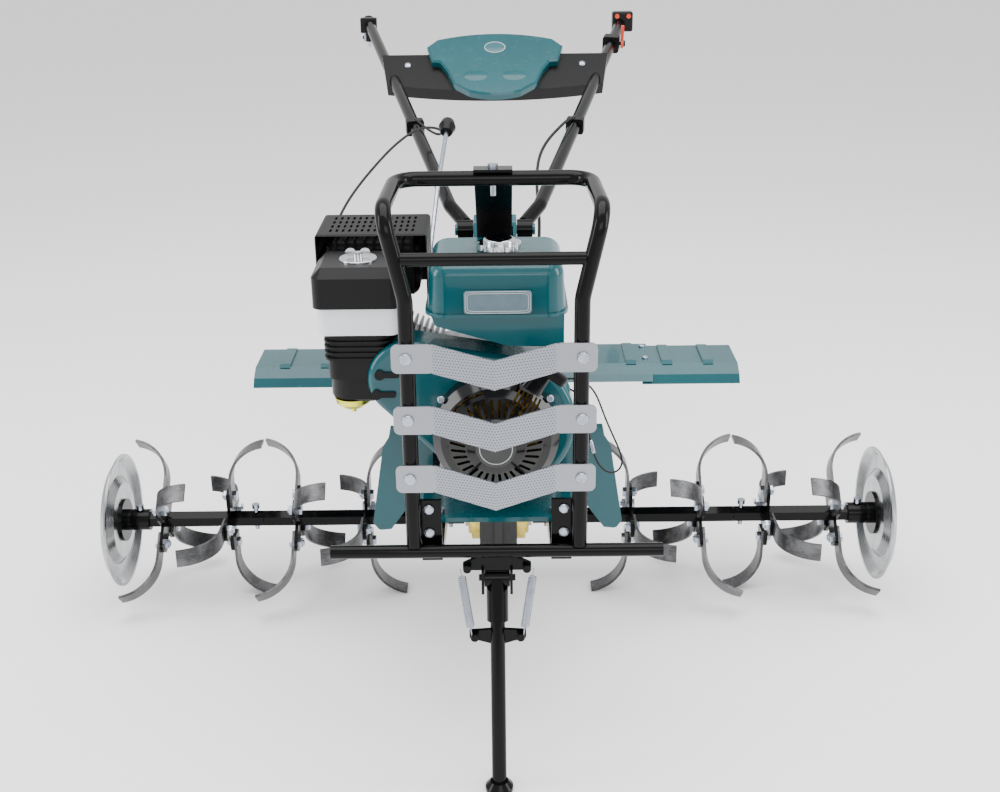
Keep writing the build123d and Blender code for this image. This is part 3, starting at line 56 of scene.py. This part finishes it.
# Studio: a pale floor that runs out to a white room, a big soft light overhead, one from each side
# and a low one in front, and the camera at a standing person's height in front of the bumper.
def room(name, across, colour, rough):
    """A square floor of that size with a plain matte finish."""
    half = across / 2
    drop = -0.0006
    corners = [(-half, -half, drop), (half, -half, drop), (half, half, drop), (-half, half, drop)]
    mesh = bpy.data.meshes.new(name)
    mesh.from_pydata(corners, [], [(0, 1, 2, 3)])
    floor = bpy.data.objects.new(name, mesh)
    bpy.context.scene.collection.objects.link(floor)
    paint = bpy.data.materials.new(name)
    paint.use_nodes = True
    surface = paint.node_tree.nodes["Principled BSDF"]
    surface.inputs["Base Color"].default_value = (*colour, 1)
    surface.inputs["Roughness"].default_value = rough
    mesh.materials.append(paint)


def soft_light(name, place, towards, size, power):
    """A rectangular lamp that faces a point."""
    lamp = bpy.data.lights.new(name, "AREA")
    lamp.shape = "RECTANGLE"
    lamp.size, lamp.size_y = size
    lamp.energy = power
    holder = bpy.data.objects.new(name, lamp)
    holder.location = place
    holder.rotation_euler = (Vector(towards) - Vector(place)).to_track_quat("-Z", "Y").to_euler()
    bpy.context.scene.collection.objects.link(holder)


room("floor", 60, (0.96, 0.96, 0.96), 0.8)
soft_light("overhead", (0, -0.6, 3.4), (0, -0.2, 0.4), (3.6, 2.6), 150)
soft_light("left_side", (-3.2, -1.2, 1.6), (0, -0.3, 0.5), (1.0, 2.2), 60)
soft_light("right_side", (3.2, -1.0, 1.5), (0, -0.3, 0.5), (1.0, 2.2), 60)
soft_light("front_fill", (0.6, -3.8, 1.9), (0, -0.4, 0.5), (2.2, 1.2), 30)

world = bpy.data.worlds.new("white_room")
world.use_nodes = True
world.node_tree.nodes["Background"].inputs["Color"].default_value = (1, 1, 1, 1)
world.node_tree.nodes["Background"].inputs["Strength"].default_value = 1.25
bpy.context.scene.world = world

camera_place = Vector((0.0128, -2.484, 1.275))
pitch, yaw, roll = radians(22.0), radians(-0.1946), radians(0.6486)
ahead = Vector((sin(yaw) * cos(pitch), cos(yaw) * cos(pitch), -sin(pitch)))
level = Vector((cos(yaw), -sin(yaw), 0))
upright = level.cross(ahead)
across = level * cos(roll) - upright * sin(roll)
upward = level * sin(roll) + upright * cos(roll)
lens = bpy.data.cameras.new("camera")
lens.sensor_width = 36
lens.lens = 46.44
lens.clip_start = 0.05
camera = bpy.data.objects.new("camera", lens)
turn = Matrix((across, upward, -ahead)).transposed().to_4x4()
camera.matrix_world = Matrix.Translation(camera_place) @ turn
bpy.context.scene.collection.objects.link(camera)
bpy.context.scene.camera = camera


# Painted steel: the blower housing, tank, guards and skirts are pressed sheet in a gloss petrol-teal
# enamel, with a faint orange peel and a little dust lying on what faces up.
class Shade:
    """One socket of a material's nodes. Sums and products of sockets add Math nodes."""

    def __init__(self, tree, socket=None):
        self.tree, self.socket = tree, socket

    def node(self, kind, settings=None, out=0, **values):
        """Adds a node: its settings first, then its sockets, by name, _ for a space, or by _number."""
        made = self.tree.nodes.new("ShaderNode" + kind)
        for name, value in (settings or {}).items():
            setattr(made, name, value)
        for name, value in values.items():
            key = int(name[1:]) if name[0] == "_" else name.replace("_", " ")
            if isinstance(value, Shade):
                self.tree.links.new(value.socket, made.inputs[key])
            else:
                made.inputs[key].default_value = value
        return Shade(self.tree, made.outputs[out])

    def maths(self, operation, *values):
        """A Math node on these values."""
        return self.node("Math", {"operation": operation}, **{f"_{i}": v for i, v in enumerate(values)})

    def __add__(self, other):
        return self.maths("ADD", self, other)

    def __mul__(self, other):
        return self.maths("MULTIPLY", self, other)

    def __sub__(self, other):
        return self.maths("SUBTRACT", self, other)

    def __rsub__(self, other):
        return self.maths("SUBTRACT", other, self)

    __radd__, __rmul__ = __add__, __mul__

    def band(self, low, high):
        """0 below low, 1 above high, smooth between."""
        smooth = {"interpolation_type": "SMOOTHSTEP"}
        return self.node("MapRange", smooth, Value=self, From_Min=low, From_Max=high)

    def noise(self, scale, detail=3.0, rough=0.5):
        """Noise with this socket as its coordinates."""
        return self.node("TexNoise", Vector=self, Scale=scale, Detail=detail, Roughness=rough)

    def blend(self, first, second):
        """A colour mixed from two by this socket. A Mix node takes colours at 6 and 7 and gives one at 2."""
        first, second = [(*colour, 1) if isinstance(colour, tuple) else colour for colour in (first, second)]
        return self.node("Mix", {"data_type": "RGBA"}, out=2, _0=self, _6=first, _7=second)

    def parts(self):
        """The X, Y and Z of a vector socket."""
        split = self.node("SeparateXYZ", Vector=self)
        return [Shade(self.tree, output) for output in split.socket.node.outputs]


class Finish:
    """A material with one shader, read in the object's own coordinates."""

    def __init__(self, name, **constants):
        self.material = bpy.data.materials.new(name)
        self.material.use_nodes = True
        tree = self.material.node_tree
        self.shader = tree.nodes["Principled BSDF"]
        self.start = Shade(tree)
        self.point = self.start.node("TexCoord", out="Object")
        for key, value in constants.items():
            self.shader.inputs[key.replace("_", " ")].default_value = value

    def set(self, **values):
        """Links or sets the shader's sockets."""
        for key, value in values.items():
            place = self.shader.inputs[key.replace("_", " ")]
            if isinstance(value, Shade):
                self.start.tree.links.new(value.socket, place)
            else:
                place.default_value = value

    def bump(self, height, strength, distance):
        """Raises the surface by a height socket."""
        self.set(Normal=self.start.node("Bump", Strength=strength, Distance=distance, Height=height))

    def facing_up(self):
        """1 where the surface looks straight up, 0 on walls and below."""
        normal = self.start.node("NewGeometry", out="Normal")
        return normal.parts()[2].band(0.35, 0.95)


def paint_nodes(material, *names):
    """Gives a finish to CAD nodes in place of what they came with."""
    for name in names:
        piece = node[name]
        piece.data.materials.clear()
        piece.data.materials.append(material)


def enamel(name, colour, deep, rough, specks, bend, coat):
    """Gloss enamel: its colour drifts a little, dust lies on top, and the gloss has small dull patches."""
    made = Finish(name, Coat_Roughness=0.06, Coat_Weight=coat, IOR=bend)
    drift = made.point.noise(5.0, 3.0).band(0.2, 0.8)
    dust = made.facing_up() * made.point.noise(46.0, 6.0, 0.7).band(0.45, 0.8)
    body = drift.blend(deep, colour)
    dust_colour = (0.16, 0.2, 0.2)
    made.set(Base_Color=(dust * specks).blend(body, dust_colour))
    scuff = made.point.noise(160.0, 2.0).band(0.55, 0.75)
    made.set(Roughness=rough + dust * 0.18 + scuff * 0.05)
    made.bump(made.point.noise(520.0, 2.0), 0.045, 0.0004)
    return made.material


teal = enamel("teal_enamel", (0.0005, 0.068, 0.083), (0.0004, 0.055, 0.068), rough=0.22,
              specks=0.025, bend=1.34, coat=0.3)
paint_nodes(teal, "dash_shroud", "blower_housing", "fuel_tank", "guards", "skirts", "handle_mount")


# Black parts: the bumper, cradle, sleeves, stand and handlebar are welded tube and plate under a gloss
# black powder coat. The case is an iron casting painted black, rougher, with the sand's grain left in it.
# The engine's block, cylinder and carburettor are bare die-cast alloy.
black = enamel("black_powder_coat", (0.0022, 0.0022, 0.0024), (0.0014, 0.0014, 0.0015), rough=0.17,
               specks=0.02, bend=1.18, coat=0.1)
paint_nodes(black, "bumper_cage", "cradle", "brace_plate", "handlebar", "stand_leg", "sleeves",
            "case_fittings")


def casting(name, colour, deep, grain, rough, metallic=0.0):
    """A sand or die casting: mottled colour and a pitted skin."""
    made = Finish(name, Metallic=metallic)
    mottle = made.point.noise(60.0, 6.0, 0.6).band(0.3, 0.7)
    made.set(Base_Color=mottle.blend(deep, colour))
    made.set(Roughness=rough + mottle * 0.12)
    made.bump(made.point.noise(grain, 5.0, 0.7), 0.25, 0.0006)
    return made.material


painted_iron = casting("painted_casting", (0.008, 0.008, 0.0085), (0.004, 0.004, 0.0042), 420.0, 0.4)
paint_nodes(painted_iron, "gear_case")
alloy = casting("die_cast_alloy", (0.46, 0.47, 0.48), (0.3, 0.31, 0.32), 600.0, 0.38, 0.9)
paint_nodes(alloy, "engine_block", "cylinder", "carburettor")


# Plated and bare metal: zinc bolts, yellow-zinc hubs and bowl, chrome cap and plate, ground blades,
# polished guard discs, turned gears and the satin alloy straps.
def plated(name, colour, shade_colour, rough, drift_scale=80.0, grain=0.05):
    """Bare or plated metal: stains in the colour, fine unevenness in the gloss and the surface."""
    made = Finish(name, Metallic=1.0)
    stain = made.point.noise(drift_scale, 5.0, 0.6).band(0.35, 0.75)
    made.set(Base_Color=stain.blend(colour, shade_colour))
    made.set(Roughness=rough + made.point.noise(drift_scale * 5, 3.0) * 0.16)
    made.bump(made.point.noise(900.0, 2.0), grain, 0.0003)
    return made.material


zinc = plated("clear_zinc", (0.42, 0.45, 0.52), (0.28, 0.31, 0.37), 0.2)
paint_nodes(zinc, "frame_bolts", "rotor_fasteners", "clutch_lever", "shift_lever", "drag_stake")
paint_nodes(plated("yellow_zinc", (0.8, 0.66, 0.16), (0.62, 0.45, 0.09), 0.26), "bearing_hubs")
paint_nodes(plated("bowl_zinc", (0.86, 0.78, 0.08), (0.6, 0.62, 0.1), 0.22), "float_bowl")
chrome = plated("bright_chrome", (0.62, 0.63, 0.65), (0.5, 0.52, 0.55), 0.05, 40.0, 0.01)
paint_nodes(chrome, "fuel_cap", "cleaner_plate")
steel = plated("machined_steel", (0.52, 0.52, 0.54), (0.4, 0.4, 0.42), 0.28)
paint_nodes(steel, "input_shaft", "cross_shaft", "upper_idler", "lower_idler", "tine_axle")


def blade_finish():
    """Rolled and ground blade steel: dark scale stays in patches, brighter where it has rubbed."""
    made = Finish("ground_blade", Metallic=1.0)
    patches = made.point.noise(22.0, 6.0, 0.62).band(0.38, 0.68)
    squeezed = made.start.node("Mapping", Vector=made.point, Scale=(1.0, 1.0, 12.0))
    streak = squeezed.noise(120.0, 3.0).band(0.4, 0.7)
    made.set(Base_Color=(patches * 0.6 + streak * 0.3).blend((0.05, 0.05, 0.053), (0.2, 0.2, 0.206)))
    made.set(Roughness=0.3 + patches * 0.2)
    made.bump(made.point.noise(300.0, 4.0, 0.6), 0.12, 0.0004)
    return made.material


paint_nodes(blade_finish(), "tines_left", "tines_right")


def disc_finish():
    """Spun and polished disc: fine rings round the axle in the gloss."""
    made = Finish("polished_disc", Metallic=1.0)
    _, along, height = made.point.parts()
    low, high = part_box("side_discs")
    behind, above = along - (low[1] + high[1]) / 2, height - (low[2] + high[2]) / 2
    out = made.start.maths("SQRT", behind * behind + above * above)
    rings = made.start.node("TexNoise", {"noise_dimensions": "1D"}, W=out, Scale=900.0, Detail=2.0)
    cloud = made.point.noise(30.0, 5.0).band(0.3, 0.75)
    made.set(Base_Color=cloud.blend((0.4, 0.41, 0.42), (0.3, 0.31, 0.32)))
    made.set(Roughness=0.15 + rings * 0.16 + cloud * 0.06)
    made.bump(rings, 0.05, 0.0002)
    return made.material


paint_nodes(disc_finish(), "side_discs")


def strap_finish():
    """Satin alloy strap with a field of fine dots, every second row half a step over."""
    made = Finish("dotted_strap", Metallic=1.0)
    maths = made.start.maths
    x, _, height = made.point.parts()
    dots_per_metre = 1 / 0.0042
    whole_steps = 100.0
    row = height * dots_per_metre
    shift = maths("MODULO", maths("FLOOR", row), 2.0) * 0.5
    here = maths("FRACT", x * dots_per_metre + shift + whole_steps) - 0.5
    there = maths("FRACT", row) - 0.5
    far = maths("SQRT", here * here + there * there)
    field = 1 - maths("ABSOLUTE", x).band(0.083, 0.086)
    dot = (1 - far.band(0.2, 0.3)) * field
    made.set(Base_Color=dot.blend((0.3, 0.31, 0.335), (0.1, 0.12, 0.17)))
    made.set(Roughness=0.34 + made.point.noise(260.0, 3.0) * 0.12)
    made.bump(1 - dot, 0.35, 0.0004)
    return made.material


paint_nodes(strap_finish(), "straps")


# Mouldings: the air cleaner, starter cover, panel, clamps and knob are black plastic with a fine spark
# texture, the filter's ring is milky and the grips are rubber. The muffler and its guard wear a rough stove
# black, and the plain plates a smooth print.
def moulded(name, colour, rough, grain, coat=0.0, depth=0.12):
    """Moulded plastic: an even colour with a fine spark-eroded grain and a few lighter scuffs."""
    made = Finish(name, Coat_Weight=coat, Coat_Roughness=0.12, IOR=1.26)
    scuff = made.point.noise(70.0, 6.0, 0.7).band(0.6, 0.8)
    pale = tuple(min(1.0, c * 1.6 + 0.003) for c in colour)
    made.set(Base_Color=(scuff * 0.5).blend(colour, pale))
    made.set(Roughness=rough + scuff * 0.1)
    made.bump(made.point.noise(grain, 2.0), depth, 0.0003)
    return made.material


black_plastic = moulded("black_moulding", (0.004, 0.004, 0.0044), 0.34, 1400.0)
paint_nodes(black_plastic, "cleaner_cover", "cleaner_base", "dash_panel", "switch_box", "shift_knob",
            "starter_grip", "handle_clamps", "choke_lever", "fuel_lever")
paint_nodes(moulded("starter_moulding", (0.0025, 0.0025, 0.0028), 0.13, 500.0, 0.3, 0.03), "recoil_cover")
paint_nodes(moulded("grip_rubber", (0.006, 0.006, 0.006), 0.6, 700.0, 0.0, 0.3), "grips")
paint_nodes(moulded("red_moulding", (0.55, 0.045, 0.02), 0.3, 900.0, 0.2), "stop_button", "start_button",
            "throttle_lever")
milky = moulded("milky_moulding", (0.72, 0.75, 0.78), 0.4, 700.0)
paint_nodes(milky, "cleaner_ring")


def plate_finish():
    """One finish for both plain plates: grey on the tank, and black below it on the starter's hub."""
    made = Finish("plain_plates", Coat_Weight=0.3, Coat_Roughness=0.12)
    tank_low = float(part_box("fuel_tank")[0][2])
    on_tank = made.point.parts()[2].band(tank_low - 0.02, tank_low)
    cloud = made.point.noise(60.0, 5.0).band(0.3, 0.7)
    grey = cloud.blend((0.085, 0.13, 0.16), (0.105, 0.155, 0.185))
    made.set(Base_Color=on_tank.blend((0.005, 0.005, 0.0055), grey))
    made.set(Roughness=0.3 + cloud * 0.12)
    made.bump(made.point.noise(900.0, 2.0), 0.05, 0.0002)
    return made.material


paint_nodes(plate_finish(), "tank_plate")
paint_nodes(moulded("stove_black", (0.004, 0.004, 0.004), 0.45, 900.0, 0.0, 0.3), "muffler", "muffler_guard")


# The fan behind the starter's slots is a gold-passivated casting on the steel crankshaft.
paint_nodes(plated("gold_fan", (0.62, 0.4, 0.07), (0.42, 0.25, 0.04), 0.3), "crankshaft")


# Cables: black plastic over steel wire. Two run from the handlebar's clips to the engine and the case beside
# the clutch. A thin loop of the engine's wiring hangs at its right.
low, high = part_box("tine_axle")
axle_y = float(low[1] + high[1]) / 2
sheath = moulded("cable_sheath", (0.016, 0.016, 0.017), 0.42, 300.0, 0.0, 0.05)


def route(points):
    """Points given in millimetres behind the tine axle, as places in the frame."""
    return [(x * mm, axle_y + behind * mm, z * mm) for x, behind, z in points]


def smooth_line(name, points, diameter):
    """One smooth spline through the neighbourhood of its given points, as a round bar."""
    line = bpy.data.curves.new(name, "CURVE")
    line.dimensions = "3D"
    line.bevel_depth = diameter / 2
    line.bevel_resolution = 3
    line.resolution_u = 10
    line.use_fill_caps = True
    run = line.splines.new("NURBS")
    run.points.add(len(points) - 1)
    for spot, place in zip(run.points, points):
        spot.co = (*place, 1)
    run.use_endpoint_u = True
    run.order_u = 3
    cable = bpy.data.objects.new(name, line)
    line.materials.append(sheath)
    bpy.context.scene.collection.objects.link(cable)
    return cable


def as_mesh(cable):
    """The curve's tube as a mesh object, with the points of its middle line."""
    bpy.context.view_layer.update()
    tube = bpy.data.meshes.new_from_object(cable)
    cable.data.bevel_depth = 0
    bpy.context.view_layer.update()
    middle = [tuple(spot.co) for spot in bpy.data.meshes.new_from_object(cable).vertices]
    name = cable.name
    bpy.data.objects.remove(cable)
    piece = bpy.data.objects.new(name + "_tube", tube)
    tube.shade_smooth()
    bpy.context.scene.collection.objects.link(piece)
    return piece, middle


cables = (
    ("clutch_cable", 0.006, 0.644, "stiff", "taut",
     [(160, 448, 822), (150, 428, 824), (128, 395, 812), (100, 350, 792), (84, 300, 772),
      (78, 240, 748), (78, 180, 724), (80, 120, 700), (78, 60, 672), (72, 10, 640), (62, -30, 612),
      (53, -60, 588), (44, -80, 565), (37, -90, 541)]),
    ("throttle_cable", 0.005, 0.820, "stiff", "hanging",
     [(-160, 448, 822), (-154, 432, 820), (-142, 418, 812), (-126, 405, 803), (-112, 395, 799),
      (-104, 384, 804), (-108, 372, 814), (-122, 360, 820), (-144, 345, 822), (-170, 320, 812),
      (-198, 285, 794), (-224, 240, 772), (-248, 190, 750), (-268, 135, 728), (-282, 80, 704),
      (-290, 30, 674), (-286, -10, 640), (-268, -36, 606), (-240, -52, 578), (-206, -66, 562),
      (-172, -84, 556), (-148, -102, 556), (-129, -132, 557)]))
for name, diameter, reach, stiffness, lay, points in cables:
    places = route(points)
    tube, middle = as_mesh(smooth_line(name + "_run", places, diameter))
    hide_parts(name)
    places[1][0] * 0.7
    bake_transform(tube)

wire_route = route([(107, -300, 548), (120, -301, 550), (136, -306, 546), (148, -314, 539),
                    (157, -322, 526), (164, -330, 508), (172, -336, 488), (182, -340, 466),
                    (191, -344, 446), (196, -347, 429), (192, -350, 416), (180, -352, 410),
                    (167, -354, 416), (157, -355, 429), (150, -354, 446), (145, -350, 466),
                    (141, -342, 488), (137, -332, 508), (132, -320, 522), (125, -310, 529),
                    (116, -303, 532)])
engine_wire = smooth_line("engine_wire_run", wire_route, 0.003)
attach(engine_wire, "chassis")
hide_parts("engine_wire")


# Stand springs: two coils of zinc-plated wire with a straight end each way, from the crossbar's bracket to
# the leg.
def closed_piece(name, points, faces, material, body=None):
    """A closed mesh piece, shaded smooth. It rides on a body when one is given."""
    mesh = bpy.data.meshes.new(name)
    mesh.from_pydata(points.reshape(-1, 3).tolist(), [], faces)
    mesh.shade_smooth()
    mesh.materials.append(material)
    piece = bpy.data.objects.new(name, mesh)
    bpy.context.scene.collection.objects.link(piece)
    if body:
        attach(piece, body)
    return piece


def quads_between(rings, sides, joined=False):
    """Faces from each ring of points to the next, and from the last to the first where they are joined."""
    rows, cols = np.meshgrid(np.arange(rings if joined else rings - 1), np.arange(sides), indexing="ij")
    here, there = rows * sides, (rows + 1) % rings * sides
    after = (cols + 1) % sides
    return np.stack([here + cols, there + cols, there + after, here + after], -1).reshape(-1, 4)


def tube_along(name, centre, radius, sides, material, body=None):
    """A round bar along points: at each one a circle square to the path, set out from a fixed direction."""
    centre = np.asarray(centre, float)
    along = np.gradient(centre, axis=0)
    along /= np.linalg.norm(along, axis=1, keepdims=True)
    set_out_from = (0.31, 0.9, 0.29)
    side = np.cross(along, set_out_from)
    side /= np.linalg.norm(side, axis=1, keepdims=True)
    up = np.cross(along, side)
    angle = np.linspace(0, 2 * pi, sides, endpoint=False)
    ring = centre[:, None] + radius * (np.cos(angle)[None, :, None] * side[:, None]
                                       + np.sin(angle)[None, :, None] * up[:, None])
    count = len(centre)
    facing_out = [0, 3, 2, 1]
    walls = quads_between(count, sides)[:, facing_out].tolist()
    caps = [list(range(sides))[::-1], [(count - 1) * sides + i for i in range(sides)]]
    return closed_piece(name, ring, walls + caps, material, body)


def coil(start, end, turns, width, hook):
    """A helix about the line from start to end: its radius grows from 0 as a square root at both ends."""
    start, end = np.array(start), np.array(end)
    along = end - start
    reach = np.linalg.norm(along)
    along = along / reach
    side = np.cross(along, (1.0, 0.0, 0.0))
    side /= np.linalg.norm(side)
    other = np.cross(along, side)
    per_turn, growth = 16, 1.4
    share = np.linspace(0, 1, turns * per_turn + 1)
    swell = width * np.clip(np.minimum(share, 1 - share) * turns * growth, 0, 1) ** 0.5
    angle = 2 * pi * turns * share
    middle = start + along * (hook + (reach - 2 * hook) * share[:, None])
    body = middle + swell[:, None] * (np.cos(angle)[:, None] * side + np.sin(angle)[:, None] * other)
    straight = np.linspace(0, 1, 5)[:, None]
    lead_in = start + straight[:-1] * (body[0] - start)
    lead_out = body[-1] + straight[1:] * (end - body[-1])
    return np.concatenate([lead_in, body, lead_out])


low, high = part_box("stand_springs")
for side in (-1, 1):
    top = (side * 0.054, float(high[1]) - 0.002, float(high[2]) + 0.004)
    foot = (side * 0.038, float(low[1]) + 0.002, float(low[2]) - 0.003)
    helix = coil(top, foot, turns=26, width=0.0056, hook=0.012)
    word = "left" if side < 0 else "right"
    spring = tube_along("stand_spring_" + word, helix, 0.0009, 8, zinc)
    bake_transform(spring)
    if side < 0:
        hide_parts("stand_springs")


# The wire's connector: a plated sleeve crimped round it where it starts down.
connector_ends = [np.array(place) for place in wire_route[14:16]]
connector_line = [connector_ends[0] + (connector_ends[1] - connector_ends[0]) * share
                  for share in np.linspace(0.0, 1.0, 6)]
connector = tube_along("wire_connector", connector_line, 0.0034, 14, zinc, "chassis")


# Small fittings: the tank's plate has a raised double rim, and the starter's hub and the plain oval badge on
# the panel's cover a single one. Two low pads stand on the cover, and a screw head on each side of the panel.
def hoop(name, centre, right, up, half, power, wire, material, body):
    """A round rim on a superellipse: cos and sin are raised to 2/power. 2 is an oval, 9 nearly a box."""
    centre, right, up = (np.array(v, float) for v in (centre, right, up))
    out = np.cross(right, up)
    steps, sides = 96, 10
    turn = np.linspace(0, 2 * pi, steps, endpoint=False)
    wide, tall = np.cos(turn), np.sin(turn)
    edge_x = np.sign(wide) * abs(wide) ** (2 / power)
    edge_y = np.sign(tall) * abs(tall) ** (2 / power)
    middle = centre + half[0] * edge_x[:, None] * right + half[1] * edge_y[:, None] * up
    away = wide[:, None] * right + tall[:, None] * up
    angle = np.linspace(0, 2 * pi, sides, endpoint=False)
    ring = middle[:, None] + wire * (np.cos(angle)[None, :, None] * away[:, None]
                                     + np.sin(angle)[None, :, None] * out)
    return closed_piece(name, ring, quads_between(steps, sides, joined=True).tolist(), material, body)


def dome(name, centre, right, up, half, height, material, body):
    """A low closed dome on an oval foot: its height falls as the root of 1 minus the radius squared."""
    centre, right, up = (np.array(v, float) for v in (centre, right, up))
    out = np.cross(right, up)
    steps, sides = 10, 40
    almost, foot_depth = 0.96, -0.25
    radius = np.sin(np.linspace(0.12, pi / 2, steps))
    rise = np.sqrt(1 - radius ** 2 * almost)
    radius, rise = np.append(radius, 1.0), np.append(rise, foot_depth)
    turn = np.linspace(0, 2 * pi, sides, endpoint=False)
    oval = (half[0] * np.cos(turn)[None, :, None] * right + half[1] * np.sin(turn)[None, :, None] * up)
    skin = centre + oval * radius[:, None, None] + height * rise[:, None, None] * out
    last = sides * steps
    caps = [list(range(sides)), list(range(last + sides - 1, last - 1, -1))]
    walls = quads_between(steps + 1, sides).tolist()
    return closed_piece(name, skin, walls + caps, material, body)


pale_rim = moulded("pale_rim", (0.4, 0.45, 0.47), 0.3, 900.0)
badge_blue = moulded("badge_blue", (0.03, 0.1, 0.12), 0.25, 900.0, 0.3)
across_x, lean = (1, 0, 0), 0.05
plate_up = (0, lean / (1 + lean ** 2) ** 0.5, 1 / (1 + lean ** 2) ** 0.5)
plate_face = np.array((5 * mm, axle_y - 363.5 * mm, 694 * mm))
for name, half in (("outer", (0.0478, 0.0162)), ("inner", (0.0450, 0.0134))):
    hoop("tank_plate_rim_" + name, plate_face, across_x, plate_up, half, 9, 0.0005, pale_rim, "chassis")

low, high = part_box("recoil_cover")
hub = np.array((0, float(low[1]) - 0.0012, 0.481))
hoop("starter_hub_rim", hub, across_x, (0, 0, 1), (0.0245, 0.0245), 2, 0.0007, pale_rim, "chassis")
panel_up, panel_out = np.array((0, 0.8, 0.6)), np.array((0, -0.6, 0.8))
panel_heart = np.array((0, axle_y + 735 * mm, 880 * mm))


def on_panel(x, along, lift):
    """A place on the panel's sloping face, in millimetres across, up the slope and off it."""
    return panel_heart + np.array((x * mm, 0, 0)) + panel_up * along * mm + panel_out * lift * mm


dome("shroud_badge", on_panel(0, 46, 17.8), across_x, panel_up, (0.022, 0.0155), 0.0016, badge_blue,
     "handle")
hoop("shroud_badge_rim", on_panel(0, 46, 18.4), across_x, panel_up, (0.0225, 0.016), 2, 0.0009, pale_rim,
     "handle")
for side, word in ((-1, "left"), (1, "right")):
    dome("shroud_pad_" + word, on_panel(side * 42, -38, 17.6), across_x, panel_up, (0.026, 0.017), 0.0022,
         teal, "handle")
    dome("panel_screw_" + word, on_panel(side * 192, 12, 0.2), across_x, panel_up, (0.0075, 0.0075), 0.0042,
         zinc, "handle")
